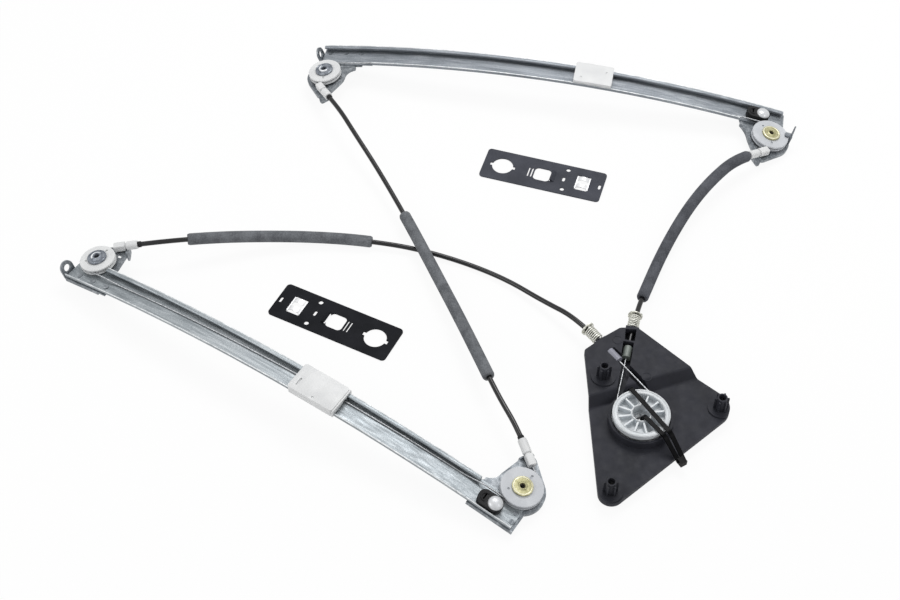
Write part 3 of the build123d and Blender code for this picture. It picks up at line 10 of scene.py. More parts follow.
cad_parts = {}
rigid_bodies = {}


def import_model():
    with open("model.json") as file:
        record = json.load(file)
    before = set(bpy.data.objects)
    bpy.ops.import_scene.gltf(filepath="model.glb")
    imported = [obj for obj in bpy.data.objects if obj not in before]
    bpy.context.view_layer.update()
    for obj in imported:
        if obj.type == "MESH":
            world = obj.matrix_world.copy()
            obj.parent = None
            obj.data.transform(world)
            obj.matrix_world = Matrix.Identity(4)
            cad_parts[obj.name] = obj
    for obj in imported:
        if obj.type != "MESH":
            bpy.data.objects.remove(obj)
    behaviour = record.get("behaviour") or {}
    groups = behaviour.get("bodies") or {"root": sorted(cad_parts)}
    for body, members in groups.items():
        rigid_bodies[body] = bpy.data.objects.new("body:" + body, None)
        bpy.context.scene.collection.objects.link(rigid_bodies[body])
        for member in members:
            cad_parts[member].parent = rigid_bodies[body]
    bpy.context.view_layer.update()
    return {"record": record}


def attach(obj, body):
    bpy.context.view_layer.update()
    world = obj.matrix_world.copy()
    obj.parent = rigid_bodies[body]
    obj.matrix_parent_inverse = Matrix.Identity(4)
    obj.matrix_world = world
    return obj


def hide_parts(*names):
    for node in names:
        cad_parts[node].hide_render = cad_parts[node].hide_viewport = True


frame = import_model()
MM = 0.001  # sizes are in millimetres unless a heading says otherwise, and this makes them metres

# ------------------------------------------------------------------ camera and light, in metres

CAMERA_PLACE = Vector((-0.1767, -0.7897, 1.1657))
CAMERA_AIM = Vector((-0.1767, 0.1543, 0.0))
LENS = 60
SENSOR_WIDTH = 36
LAMPS = {  # place, aim, size, power
    "softbox_back": ((0.12, 1.0, 1.5), (-0.1, 0.1, 0), (0.9, 0.6), 13),
    "softbox_left": ((-1.6, -0.3, 1.2), (-0.17, 0.15, 0), (0.9, 1.2), 8),
    "softbox_right": ((1.2, -0.5, 1.5), (-0.17, 0.15, 0), (0.9, 0.9), 6),
}
SKY_LIGHT = 0.5
WHITE = (1, 1, 1, 1)


def aimed(place, aim):
    """The turn that points a camera or a lamp from its place to its aim."""
    return (Vector(aim) - Vector(place)).to_track_quat("-Z", "Y").to_euler()


def seen_or_mirrored(tree):
    """1 for a ray from the camera or off a glossy or clear surface, and 0 for one that only carries light."""
    ray = tree.nodes.new("ShaderNodeLightPath")
    total = ray.outputs["Is Camera Ray"]
    for other in ("Is Glossy Ray", "Is Transmission Ray"):
        step = tree.nodes.new("ShaderNodeMath")
        step.operation = "MAXIMUM"
        tree.links.new(total, step.inputs[0])
        tree.links.new(ray.outputs[other], step.inputs[1])
        total = step.outputs["Value"]
    return total


scene = bpy.context.scene
scene.view_settings.view_transform = "Standard"

camera_data = bpy.data.cameras.new("studio_camera")
camera_data.lens = LENS
camera_data.sensor_width = SENSOR_WIDTH
camera = bpy.data.objects.new("studio_camera", camera_data)
camera.location = CAMERA_PLACE
camera.rotation_euler = aimed(CAMERA_PLACE, CAMERA_AIM)
bpy.context.collection.objects.link(camera)
scene.camera = camera

for lamp_name, (place, aim, size, power) in LAMPS.items():
    lamp_data = bpy.data.lights.new(lamp_name, "AREA")
    lamp_data.shape = "RECTANGLE"
    lamp_data.size, lamp_data.size_y = size
    lamp_data.energy = power
    lamp = bpy.data.objects.new(lamp_name, lamp_data)
    lamp.location = place
    lamp.rotation_euler = aimed(place, aim)
    bpy.context.collection.objects.link(lamp)

world = bpy.data.worlds.new("white_studio")
scene.world = world
world.use_nodes = True
sky = world.node_tree
lighting = sky.nodes["Background"]
lighting.inputs["Color"].default_value = WHITE
lighting.inputs["Strength"].default_value = SKY_LIGHT
seen = sky.nodes.new("ShaderNodeBackground")
seen.inputs["Color"].default_value = WHITE
seen.inputs["Strength"].default_value = 1.0
pick = sky.nodes.new("ShaderNodeMixShader")
sky.links.new(seen_or_mirrored(sky), pick.inputs["Fac"])
sky.links.new(lighting.outputs["Background"], pick.inputs[1])
sky.links.new(seen.outputs["Background"], pick.inputs[2])
sky.links.new(pick.outputs["Shader"], sky.nodes["World Output"].inputs["Surface"])

# ------------------------------------------------------------------ material helper


class Material:
    """A procedural material on Object coordinates, with a Principled shader to hang detail on."""

    def __init__(self, name, color, roughness, metallic=0.0, **sockets):
        self.made = bpy.data.materials.new(name)
        self.made.use_nodes = True
        self.tree = self.made.node_tree
        self.shader = self.tree.nodes["Principled BSDF"]
        self.shader.inputs["Base Color"].default_value = (*color, 1)
        self.shader.inputs["Roughness"].default_value = roughness
        self.shader.inputs["Metallic"].default_value = metallic
        for socket, value in sockets.items():
            self.shader.inputs[socket.replace("_", " ")].default_value = value
        self.place = self.tree.nodes.new("ShaderNodeTexCoord").outputs["Object"]

    def node(self, kind, **values):
        made = self.tree.nodes.new(kind)
        for key, value in values.items():
            setattr(made, key, value)
        return made

    def link(self, start, end):
        self.tree.links.new(start, end)

    def noise(self, scale, detail=3.0, distortion=0.0, along=None):
        """Noise, drawn out along a heading where along is (degrees, how many times longer)."""
        noise = self.node("ShaderNodeTexNoise")
        noise.inputs["Scale"].default_value = scale
        noise.inputs["Detail"].default_value = detail
        noise.inputs["Distortion"].default_value = distortion
        if along:
            mapping = self.node("ShaderNodeMapping", vector_type="TEXTURE")
            mapping.inputs["Rotation"].default_value = (0, 0, radians(along[0]))
            mapping.inputs["Scale"].default_value = (along[1], 1, 1)
            self.link(self.place, mapping.inputs["Vector"])
            self.link(mapping.outputs["Vector"], noise.inputs["Vector"])
        else:
            self.link(self.place, noise.inputs["Vector"])
        return noise.outputs["Fac"]

    def blend(self, first, second, share):
        """Two values mixed, with this share of the second."""
        mix = self.node("ShaderNodeMix")
        mix.inputs["Factor"].default_value = share
        self.link(first, mix.inputs["A"])
        self.link(second, mix.inputs["B"])
        return mix.outputs["Result"]

    def colors(self, value, *stops):
        """The base colour from a value, by stops of (position, colour)."""
        ramp = self.node("ShaderNodeValToRGB")
        points = ramp.color_ramp.elements
        while len(points) < len(stops):
            points.new(0.5)
        for point, (position, color) in zip(points, stops):
            point.position = position
            point.color = (*color, 1)
        self.link(value, ramp.inputs["Fac"])
        self.link(ramp.outputs["Color"], self.shader.inputs["Base Color"])

    def rough(self, value, low, high):
        """The roughness, from low to high over the middle of a noise's range."""
        spread = self.node("ShaderNodeMapRange")
        for socket, number in {"From Min": 0.3, "From Max": 0.7, "To Min": low, "To Max": high}.items():
            spread.inputs[socket].default_value = number
        self.link(value, spread.inputs["Value"])
        self.link(spread.outputs["Result"], self.shader.inputs["Roughness"])

    def bump(self, value, height, strength=1.0):
        """Relief of this height in millimetres, over any relief already there."""
        bump = self.node("ShaderNodeBump")
        bump.inputs["Distance"].default_value = height * MM
        bump.inputs["Strength"].default_value = strength
        self.link(value, bump.inputs["Height"])
        normal = self.shader.inputs["Normal"]
        if normal.is_linked:
            self.link(normal.links[0].from_socket, bump.inputs["Normal"])
        self.link(bump.outputs["Normal"], normal)


def hexa(text):
    """A linear colour from a display colour such as 8a9096."""
    values = [int(text[i:i + 2], 16) / 255 for i in (0, 2, 4)]
    return tuple(v / 12.92 if v <= 0.04045 else ((v + 0.055) / 1.055) ** 2.4 for v in values)


# ------------------------------------------------------------------ finishes


def rolled_zinc(name, dark, mid, bright, heading):
    """Zinc coated sheet: rolling lines down its length, a fine speckle over them and a dull sheen."""
    m = Material(name, hexa(mid), 0.42, metallic=0.75)
    lines = m.noise(scale=420, detail=5, distortion=0.15, along=(heading, 26))
    speckle = m.noise(scale=1100, detail=4)
    clouds = m.noise(scale=26, detail=3, distortion=0.4, along=(heading, 3))
    m.colors(
        m.blend(m.blend(lines, speckle, 0.45), clouds, 0.3),
        (0.36, hexa(dark)), (0.5, hexa(mid)), (0.64, hexa(bright)),
    )
    m.rough(m.noise(scale=300, detail=4, along=(heading, 8)), 0.36, 0.56)
    m.bump(speckle, height=0.03, strength=0.3)
    m.bump(lines, height=0.04, strength=0.35)
    return m.made


def pressed_zinc(name, dark, mid, bright, shine=0.75):
    """Zinc coated pressing: small soft spangle, darker where the press has rubbed it."""
    m = Material(name, hexa(mid), 0.42, metallic=shine)
    spangle = m.noise(scale=240, detail=5, distortion=0.5)
    rubbing = m.noise(scale=55, detail=3, distortion=0.3)
    m.colors(m.blend(spangle, rubbing, 0.4), (0.34, hexa(dark)), (0.5, hexa(mid)), (0.68, hexa(bright)))
    m.rough(m.noise(scale=260, detail=4), 0.34, 0.55)
    m.bump(m.noise(scale=900), height=0.04, strength=0.35)
    return m.made


def moulded(name, dark, bright, rough, grain=0.05, **sockets):
    """Moulded plastic or a like coat: fine grain, this many millimetres deep, and faint flow marks."""
    m = Material(name, hexa(dark), rough[0], **sockets)
    m.colors(m.noise(scale=45, detail=4, distortion=0.3), (0.3, hexa(dark)), (0.7, hexa(bright)))
    m.rough(m.noise(scale=140), *rough)
    m.bump(m.noise(scale=2600, detail=2), height=grain, strength=0.6)
    m.bump(m.noise(scale=60, detail=2), height=grain * 3, strength=0.3)
    return m.made


def wire(name, dark, bright, angle):
    """Stranded or drawn wire."""
    m = Material(name, hexa(dark), 0.38, metallic=0.9)
    m.colors(m.noise(scale=700, along=(angle, 6)), (0.35, hexa(dark)), (0.65, hexa(bright)))
    m.rough(m.noise(scale=300, detail=2), 0.3, 0.5)
    m.bump(m.noise(scale=1500, detail=2), height=0.05, strength=0.4)
    return m.made


def closed_foam(name, dark, bright):
    """Closed-cell foam: fine open pores, a soft nap and pale scuffs."""
    m = Material(name, hexa(dark), 0.85, Specular_IOR_Level=0.2)
    pores = m.noise(scale=900, detail=4)
    scuffs = m.noise(scale=70, detail=4, distortion=0.5)
    m.colors(m.blend(pores, scuffs, 0.5), (0.38, hexa(dark)), (0.62, hexa(bright)))
    m.rough(m.noise(scale=200), 0.75, 0.95)
    m.bump(m.noise(scale=1400), height=0.25, strength=0.7)
    m.bump(m.noise(scale=140, detail=2), height=0.4, strength=0.4)
    return m.made


foam_b = closed_foam("foam_sleeve_b", "424449", "5d5f65")
materials = {
    "galvanised_steel": pressed_zinc("galvanised_pressing", "595e63", "7b8085", "a9adb1"),
    "black_plastic": moulded("black_moulding", "28292e", "303138", (0.45, 0.6), Specular_IOR_Level=0.13),
    "tie_plastic": moulded("glossy_black", "040405", "08080a", (0.22, 0.32), 0.01, Specular_IOR_Level=0.04),
    "clear_nylon": moulded(
        "translucent_nylon", "c2c7cb", "d6dadd", (0.26, 0.42), 0.03,
        Subsurface_Weight=0.5, Subsurface_Scale=0.005, Subsurface_Radius=(1, 1, 1),
    ),
    "white_plastic": moulded(
        "white_acetal", "d3d4d5", "dedfdf", (0.34, 0.48), 0.03,
        Subsurface_Weight=0.1, Subsurface_Scale=0.002, Subsurface_Radius=(1, 1, 1),
    ),
    "grey_plastic": moulded("pale_grey_acetal", "babdc2", "d0d3d7", (0.34, 0.5), 0.03),
    "yellow_zinc": pressed_zinc("yellow_zinc", "86825f", "aaa682", "cecaa9"),
    "cable_steel": wire("cable_strand", "8b8d90", "b4b6b8", 30),
    "spring_steel": wire("spring_wire", "b1b1a8", "efefe7", 0),
    "rubber": moulded("black_rubber", "131315", "1d1d1f", (0.5, 0.7), 0.1, Specular_IOR_Level=0.25),
    "conduit_skin": moulded("conduit_sheath", "0e0e10", "161618", (0.12, 0.2), 0.01, Specular_IOR_Level=0.4),
    "foam": closed_foam("foam_sleeve", "54565a", "777a7e"),
    "coated_sheet": moulded(
        "black_phosphate", "1b1c1f", "232428", (0.5, 0.65), 0.06, Specular_IOR_Level=0.04,
    ),
}
own_materials = {
    # rail 2's zinc is a darker copy of rail 1's: painted shade for the less light that rail 2 catches
    "rail_1": rolled_zinc("rolled_zinc_1", "6d7377", "90969a", "bbc0c3", -33),
    "rail_2": rolled_zinc("rolled_zinc_2", "646a70", "83888e", "a6abb0", -11),
    # a lighter copy of the black phosphate: painted light on the upper glass clip's plate
    "glass_clip_plate_1": moulded(
        "phosphate_painted_light", "3b3d44", "484a52", (0.45, 0.6), 0.06, Specular_IOR_Level=0.1,
    ),
    "glass_clip_spring_1": moulded("bright_strip_1", "d9dadc", "f0f0f1", (0.25, 0.4), 0.02, Metallic=0.4),
    "glass_clip_spring_2": moulded("bright_strip_2", "d9dadc", "f0f0f1", (0.25, 0.4), 0.02, Metallic=0.4),
    "plate_ferrule_a": moulded("lilac_ferrule", "7f808b", "9394a0", (0.4, 0.5), 0.03),
    "plate_ferrule_b": moulded("green_grey_ferrule", "676e69", "7c837e", (0.4, 0.5), 0.03),
    "rail_1_upper_pulley_pin": pressed_zinc("formed_hub_1", "565b63", "747981", "9ba0a6"),
    "rail_2_upper_pulley_pin": pressed_zinc("formed_hub_2", "565b63", "747981", "9ba0a6"),
}

for entry in frame["record"]["subparts"]:
    node = bpy.data.objects[entry["node"]]
    node.data.materials.clear()
    node.data.materials.append(own_materials.get(entry["node"], materials[entry["material_slot"]]))

# ------------------------------------------------------------------ rounded edges of the mouldings

EDGE_RADII = {"slider_1": 1.0, "slider_2": 1.0, "buffer_1": 0.8, "buffer_2": 0.8, "motor_plate": 0.5}
WELD_REACH = 0.01
for node_name, radius in EDGE_RADII.items():
    node = bpy.data.objects[node_name]
    weld = node.modifiers.new("weld", "WELD")
    weld.merge_threshold = WELD_REACH * MM
    bevel = node.modifiers.new("rounded_edges", "BEVEL")
    bevel.width = radius * MM
    bevel.segments = 3
    bevel.limit_method = "ANGLE"
    bevel.angle_limit = radians(40)
    bevel.harden_normals = False

# ------------------------------------------------------------------ conduits and their foam sleeves

CONDUIT_DIAMETER = 5.0
SLEEVE_RADIUS = 6.0
SLEEVE_EDGE = 0.8
SLEEVE_RINGS_APART = 2.0
BORE_RADIUS = CONDUIT_DIAMETER / 2 + 0.15
SLEEVES = {"a": (58, 246), "b": (10, 244), "c": (83, 313)}  # from and to, along the conduit
COLLARS = {"a": [8.3], "b": [], "c": [8.3, -11.8]}  # from the start, or back from the far end
COLLAR_LENGTH = 3.5
COLLAR_RADIUS = 3.1
COLLAR_EDGE = 0.4
COLLAR_RINGS_APART = 0.5
ROUTES = {
    "a": [
        (-499.0, 203.8, 26.1), (-468.3, 205.5, 30.2), (-414.9, 216.7, 24.0), (-365.8, 226.1, 15.0),
        (-315.4, 230.7, 8.6), (-267.1, 227.3, 7.3), (-215.7, 218.8, 5.6), (-164.5, 202.2, 3.0),
        (-120.0, 177.5, 4.4), (-84.8, 146.5, 8.3), (-52.2, 116.3, 18.0), (-26.1, 79.7, 18.0),
    ],
    "b": [
        (149.8, 341.3, 17.7), (127.7, 330.3, 21.5), (98.1, 300.4, 20.0), (73.3, 268.4, 16.0),
        (51.8, 232.6, 11.0), (34.7, 198.2, 8.6), (21.2, 165.5, 10.0), (5.7, 126.3, 15.2), (-4.5, 85.6, 15.2),
    ],
    "c": [
        (-108.4, -33.4, 18.8), (-115.6, -12.9, 22.1), (-131.1, 19.4, 23.0), (-149.1, 68.0, 21.0),
        (-167.9, 120.0, 16.0), (-189.7, 175.4, 13.0), (-213.7, 233.8, 12.8), (-235.3, 281.4, 15.0),
        (-257.4, 326.2, 19.0), (-279.5, 365.7, 24.5), (-298.3, 401.8, 27.9), (-314.0, 428.3, 24.5),
    ],
}


def route_curve(name, points, radius):
    """A smooth round cord along a route's points."""
    data = bpy.data.curves.new(name, "CURVE")
    data.dimensions = "3D"
    data.resolution_u = 24
    spline = data.splines.new("NURBS")
    spline.points.add(len(points) - 1)
    for target, point in zip(spline.points, points):
        target.co = (*(c * MM for c in point), 1)
    spline.order_u = 3
    spline.use_endpoint_u = True
    data.bevel_depth = radius * MM
    data.bevel_resolution = 6
    data.use_fill_caps = True
    curve = bpy.data.objects.new(name, data)
    bpy.context.collection.objects.link(curve)
    return curve


def centreline(name, points):
    """The points, in metres, of a route's own smooth line."""
    bare = route_curve(name, points, 0.0)
    depsgraph = bpy.context.evaluated_depsgraph_get()
    mesh = bpy.data.meshes.new_from_object(bare.evaluated_get(depsgraph))
    line = [v.co.copy() for v in mesh.vertices]
    bpy.data.objects.remove(bare)
    bpy.data.meshes.remove(mesh)
    return line


def length_of(line):
    return sum((b - a).length for a, b in zip(line, line[1:]))


def part_of(line, start, stop, step):
    """Evenly spaced points of a line, between two distances along it in metres."""
    marks, travelled = [], 0.0
    for a, b in zip(line, line[1:]):
        marks.append((travelled, a, b))
        travelled += (b - a).length
    count = max(2, round((stop - start) / step))
    out = []
    for i in range(count + 1):
        want = start + (stop - start) * i / count
        at, a, b = [m for m in marks if m[0] <= want][-1]
        out.append(a + (b - a) * min(1, (want - at) / max(1e-9, (b - a).length)))
    return out


def skinned(name, mesh, rings, closed=True):
    """The mesh of faces between rings of vertices, turned outwards. A ring of one vertex is a pole."""
    for near, far in zip(rings, rings[1:] + rings[:1] if closed else rings[1:]):
        for k in range(max(len(near), len(far))):
            after = k + 1
            corners = (
                near[k % len(near)], near[after % len(near)], far[after % len(far)], far[k % len(far)],
            )
            mesh.faces.new(tuple(dict.fromkeys(corners)))
    bmesh.ops.recalc_face_normals(mesh, faces=mesh.faces)
    data = bpy.data.meshes.new(name)
    mesh.to_mesh(data)
    mesh.free()
    return data


def tube_along(name, line, radius, edge, sides=32):
    """A closed tube round a line, bored for the conduit, with its outer edges broken."""
    bore, outer, last = BORE_RADIUS * MM, radius * MM, len(line) - 1
    broken = outer - edge * MM
    profile = [(0, bore), (0, broken), *((i, outer) for i in range(1, last)), (last, broken)]
    profile += [(i, bore) for i in range(last, 0, -1)]
    turns = [2 * pi * k / sides for k in range(sides)]
    mesh = bmesh.new()
    rings = []
    for index, ring_radius in profile:
        ahead = (line[min(index + 1, last)] - line[max(index - 1, 0)]).normalized()
        across = ahead.cross(Vector((0, 0, 1))).normalized()
        lift = across.cross(ahead)
        rings.append([
            mesh.verts.new(line[index] + (across * cos(turn) + lift * sin(turn)) * ring_radius)
            for turn in turns
        ])
    data = skinned(name, mesh, rings)
    for face in data.polygons:
        face.use_smooth = True
    piece = bpy.data.objects.new(name, data)
    bpy.context.collection.objects.link(piece)
    return piece


def foam_sleeve(letter, line):
    start, stop = (distance * MM for distance in SLEEVES[letter])
    covered = part_of(line, start, stop, SLEEVE_RINGS_APART * MM)
    sleeve = tube_along(f"foam_{letter}", covered, SLEEVE_RADIUS, SLEEVE_EDGE)
    sleeve.data.materials.append(foam_b if letter == "b" else materials["foam"])
    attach(sleeve, "frame")
    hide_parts(f"sleeve_{letter}")
    return sleeve


def rubber_collar(letter, line, number, distance):
    start = distance * MM if distance >= 0 else length_of(line) + distance * MM
    reach = part_of(line, start, start + COLLAR_LENGTH * MM, COLLAR_RINGS_APART * MM)
    collar = tube_along(f"conduit_{letter}_collar_{number}", reach, COLLAR_RADIUS, COLLAR_EDGE)
    collar.data.materials.append(materials["rubber"])
    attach(collar, "frame")
    return collar


for letter, points in ROUTES.items():
    conduit = route_curve(f"sheath_{letter}", points, CONDUIT_DIAMETER / 2)
    conduit.data.materials.append(materials["conduit_skin"])
    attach(conduit, "frame")
    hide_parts(f"conduit_{letter}")
    line = centreline(f"route_{letter}", points)
    sleeve = foam_sleeve(letter, line)
    collars = [rubber_collar(letter, line, i + 1, d) for i, d in enumerate(COLLARS[letter])]

# ------------------------------------------------------------------ seats of the fine pieces

RAIL_RADIUS = 1400
RAIL_PITCH = -0.86
RAILS = {1: ((-334.8, 39.5, 36), -33.09), 2: ((-69.1, 446.7, 36), -10.96)}  # crown, and heading in degrees
PULLEY_STATION = 249


def seat(foot, x_way, y_way, z_way):
    """A placing matrix in metres from a foot in millimetres and three directions."""
    turn = Matrix((x_way, y_way, z_way)).transposed()
    return Matrix.Translation(foot * MM) @ turn.to_4x4()


def crown_ways(number):
    """A rail's directions at its crown (down it, across it and away from its web) and its arch's centre."""
    crown, heading = RAILS[number]
    turn, dip = radians(heading), radians(RAIL_PITCH)
    down = Vector((cos(turn) * cos(dip), sin(turn) * cos(dip), sin(dip)))
    across = Vector((-sin(turn), cos(turn), 0))
    up = down.cross(across)
    return down, across, up, Vector(crown) - up * RAIL_RADIUS


def on_rail(number, along, x=0.0, y=0.0, z=0.0):
    """The seat at an arc length of a rail: X down the rail, Y across it, Z away from its web."""
    down, across, up, centre = crown_ways(number)
    angle = along / RAIL_RADIUS
    here_up = up * cos(angle) + down * sin(angle)
    here_down = down * cos(angle) - up * sin(angle)
    foot = centre + here_up * RAIL_RADIUS + here_down * x + across * y + here_up * z
    return seat(foot, here_down, across, here_up)


def raised(place, height):
    """The same seat, this far up its own Z."""
    return place @ Matrix.Translation((0, 0, height * MM))


# ------------------------------------------------------------------ tools for the fine pieces

# a look is a finish, the body that the piece rides on, and its slot
ZINC_SLOT, YELLOW_SLOT = "galvanised_steel", "yellow_zinc"
SHARP_FROM = 34


def settle(name, data, place, look):
    """Puts a mesh in its place, smooths it between its sharp edges and rides it on its body."""
    finish, body, slot = look
    data.transform(place)
    data.materials.clear()
    data.materials.append(finish)
    data.shade_smooth()
    data.set_sharp_from_angle(angle=radians(SHARP_FROM))
    piece = bpy.data.objects.new(name, data)
    bpy.context.collection.objects.link(piece)
    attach(piece, body)
    return piece


def turned(name, place, profile, look, closed=True, sides=56):
    """A turned or formed piece: its profile, (radius, height), swept round the seat's own Z."""
    mesh = bmesh.new()
    turns = [2 * pi * k / sides for k in range(sides)]
    rings = []
    for radius, height in profile:
        around = turns if radius else [0.0]
        rings.append([
            mesh.verts.new((radius * MM * cos(turn), radius * MM * sin(turn), height * MM)) for turn in around
        ])
    data = skinned(name, mesh, rings, closed)
    return settle(name, data, place, look)


def bent_wire(name, node_kind, place, look, sizes):
    """Round wire along a curve node, made by a node tree whose named inputs are these sizes."""
    finish = look[0]
    tree = bpy.data.node_groups.new(name, "GeometryNodeTree")
    tree.interface.new_socket("Geometry", in_out="OUTPUT", socket_type="NodeSocketGeometry")
    for label in sizes:
        tree.interface.new_socket(label, in_out="INPUT", socket_type="NodeSocketFloat")
    enter = tree.nodes.new("NodeGroupInput")
    course = tree.nodes.new(node_kind)
    round_wire = tree.nodes.new("GeometryNodeCurvePrimitiveCircle")
    round_wire.inputs["Resolution"].default_value = 10
    skin = tree.nodes.new("GeometryNodeCurveToMesh")
    skin.inputs["Fill Caps"].default_value = True
    real = tree.nodes.new("GeometryNodeRealizeInstances")
    coat = tree.nodes.new("GeometryNodeSetMaterial")
    coat.inputs["Material"].default_value = finish
    leave = tree.nodes.new("NodeGroupOutput")
    for label in sizes:
        if label != "Wire Radius":
            tree.links.new(enter.outputs[label], course.inputs[label])
    tree.links.new(enter.outputs["Wire Radius"], round_wire.inputs["Radius"])
    tree.links.new(course.outputs["Curve"], skin.inputs["Curve"])
    tree.links.new(round_wire.outputs["Curve"], skin.inputs["Profile Curve"])
    tree.links.new(skin.outputs["Mesh"], real.inputs["Geometry"])
    tree.links.new(real.outputs["Geometry"], coat.inputs["Geometry"])
    tree.links.new(coat.outputs["Geometry"], leave.inputs["Geometry"])
    holder = bpy.data.objects.new(name + "_tree", bpy.data.meshes.new(name + "_tree"))
    bpy.context.collection.objects.link(holder)
    grow = holder.modifiers.new("grow", "NODES")
    grow.node_group = tree
    for item in tree.interface.items_tree:
        if item.in_out == "INPUT":
            grow[item.identifier] = float(sizes[item.name])
    data = bpy.data.meshes.new_from_object(holder.evaluated_get(bpy.context.evaluated_depsgraph_get()))
    bpy.data.objects.remove(holder)
    return settle(name, data, place, look)


def wire_arc(name, place, look, radius, start, sweep, wire_radius, steps):
    """Wire bent to an arc round the seat's own Z, its angles in degrees."""
    return bent_wire(name, "GeometryNodeCurveArc", place, look, {
        "Resolution": steps, "Radius": radius * MM, "Start Angle": radians(start),
        "Sweep Angle": radians(sweep), "Wire Radius": wire_radius * MM,
    })


def wire_coil(name, place, look, radius, height, turns, wire_radius, steps):
    """Wire coiled up the seat's own Z, with this many steps in each turn."""
    return bent_wire(name, "GeometryNodeCurveSpiral", place, look, {
        "Resolution": steps, "Rotations": turns, "Height": height * MM, "Start Radius": radius * MM,
        "End Radius": radius * MM, "Wire Radius": wire_radius * MM,
    })


# ------------------------------------------------------------------ rolled edges of the rails, in a brighter zinc that paints their highlight line

FLANGE_LINE = (-12.4, 4.15)  # across the rail, and away from its web
HEM_LINE = (12.45, 6.35)
EDGE_SPANS = {  # along the rail, from its crown
    1: {"flange": (FLANGE_LINE, -262, 262), "hem": (HEM_LINE, -224, 215)},
    2: {"flange": (FLANGE_LINE, -196, 215), "hem": (HEM_LINE, -256, 262)},
}
ROLLED_EDGE_RADIUS = 0.62
# the rolled edges are real; their zinc, lighter than the rails', is a painted highlight along the flange and
# hem tops
edge_highlight_finish = pressed_zinc("rolled_edge_painted_highlight", "aeb3b6", "d3d6d8", "f1f2f3", shine=0.6)
for number, spans in EDGE_SPANS.items():
    down, across, up, centre = crown_ways(number)
    for edge, ((y, z), start, stop) in spans.items():
        wire_arc(
            f"rail_{number}_{edge}_edge", seat(centre + across * y, up, down, across),
            (edge_highlight_finish, "frame", ZINC_SLOT), radius=RAIL_RADIUS + z,
            start=degrees(start / RAIL_RADIUS), sweep=degrees((stop - start) / RAIL_RADIUS),
            wire_radius=ROLLED_EDGE_RADIUS, steps=120,
        )

# ------------------------------------------------------------------ pulley pins

PULLEY_SEATS = {
    "rail_1_lower": on_rail(1, PULLEY_STATION, 0.5, 25.5),
    "rail_1_upper": on_rail(1, -PULLEY_STATION, 6, 17),
    "rail_2_lower": on_rail(2, PULLEY_STATION, 0.5, -29),
    "rail_2_upper": on_rail(2, -PULLEY_STATION, 3, -31),
}
PIN_TOP = 10.1  # top face of a pulley pin's head, over the bracket
# profiles of the pins' forms: radius, and height over the head's top face
LOWER_RIM = [(7.9, -0.3), (8.1, 0.3), (8.5, 0.45), (8.9, 0.3), (9.15, -0.3)]
LOWER_COLLAR = [(2.6, -0.6), (2.7, 0.4), (3.1, 0.8), (3.8, 0.7), (4.5, 0.1), (4.9, -0.3)]
UPPER_FORM = [(2.6, -0.4), (2.7, 0.9), (3.2, 1.6), (4.1, 1.8), (5.0, 1.2), (5.7, 0.3), (6.3, -0.3)]
UPPER_RIM = [(8.2, -0.3), (8.4, 0.2), (8.8, 0.35), (9.2, 0.1), (9.35, -0.3)]
THREAD = {"radius": 2.4, "height": 9.5, "turns": 9.5, "wire_radius": 0.3, "steps": 28}
THREAD_START = 0.5
# the crescents are bright arcs laid only on the lit side of the upper pins' forms: a painted highlight
CRESCENT = {"radius": 4.6, "sweep": 190, "wire_radius": 1.1, "steps": 32}
CRESCENT_START = {"rail_1_upper": 68, "rail_2_upper": 136}
CRESCENT_LEVEL = PIN_TOP + 0.9

# a lighter copy of the yellow zinc: painted highlight on the lower pins' raised rims
rim_highlight_finish = pressed_zinc("yellow_zinc_painted_highlight", "c5c2a6", "e2dfc8", "f2f0e0")
# bright zinc: a painted highlight on the upper pins' crescents, and the drum's bore bush
highlight_and_bush_finish = pressed_zinc("bright_zinc_highlight_and_bush", "b9bdc1", "d9dcdf", "eff0f1")
# a dark copy of the yellow zinc: painted shade inside the lower pins' tapped holes
thread_shade_finish = pressed_zinc("tapped_thread_painted_shade", "2e2a26", "4a443c", "7a7262")


def over(level, profile):
    """A profile raised by a level."""
    return [(radius, level + height) for radius, height in profile]


def lower_pin(end_name, place):
    collar_look = (materials["yellow_zinc"], "frame", YELLOW_SLOT)
    thread_look = (thread_shade_finish, "frame", YELLOW_SLOT)
    turned(f"{end_name}_pin_rim", place, over(PIN_TOP, LOWER_RIM), (rim_highlight_finish, "frame", YELLOW_SLOT))
    turned(f"{end_name}_pin_collar", place, over(PIN_TOP, LOWER_COLLAR), collar_look)
    wire_coil(f"{end_name}_pin_thread", raised(place, THREAD_START), thread_look, **THREAD)


def upper_pin(end_name, place):
    formed_look = (own_materials[f"{end_name}_pulley_pin"], "frame", ZINC_SLOT)
    turned(f"{end_name}_pin_form", place, over(PIN_TOP, UPPER_FORM), formed_look)
    wire_arc(
        f"{end_name}_pin_crescent", raised(place, CRESCENT_LEVEL), (highlight_and_bush_finish, "frame", ZINC_SLOT),
        start=CRESCENT_START[end_name], **CRESCENT,
    )
    turned(f"{end_name}_pin_rim", place, over(PIN_TOP, UPPER_RIM), formed_look)


for end_name, place in PULLEY_SEATS.items():
    if "lower" in end_name:
        lower_pin(end_name, place)
    else:
        upper_pin(end_name, place)

# ------------------------------------------------------------------ buffers

BUFFER_TOP = 8.7
BUFFER_Y = {1: -3.5, 2: -1.5}
BUFFER_PIN_X = -10  # from the pulley station, down the rail
BUFFER_SLOT_X = -20.5
DOME_RADIUS = 7.1
DOME_RISE = 3.8
DOME_STEPS = 9
BUFFER_CRESCENT = {"radius": 4.1, "start": 75, "sweep": 210, "wire_radius": 0.8, "steps": 36}

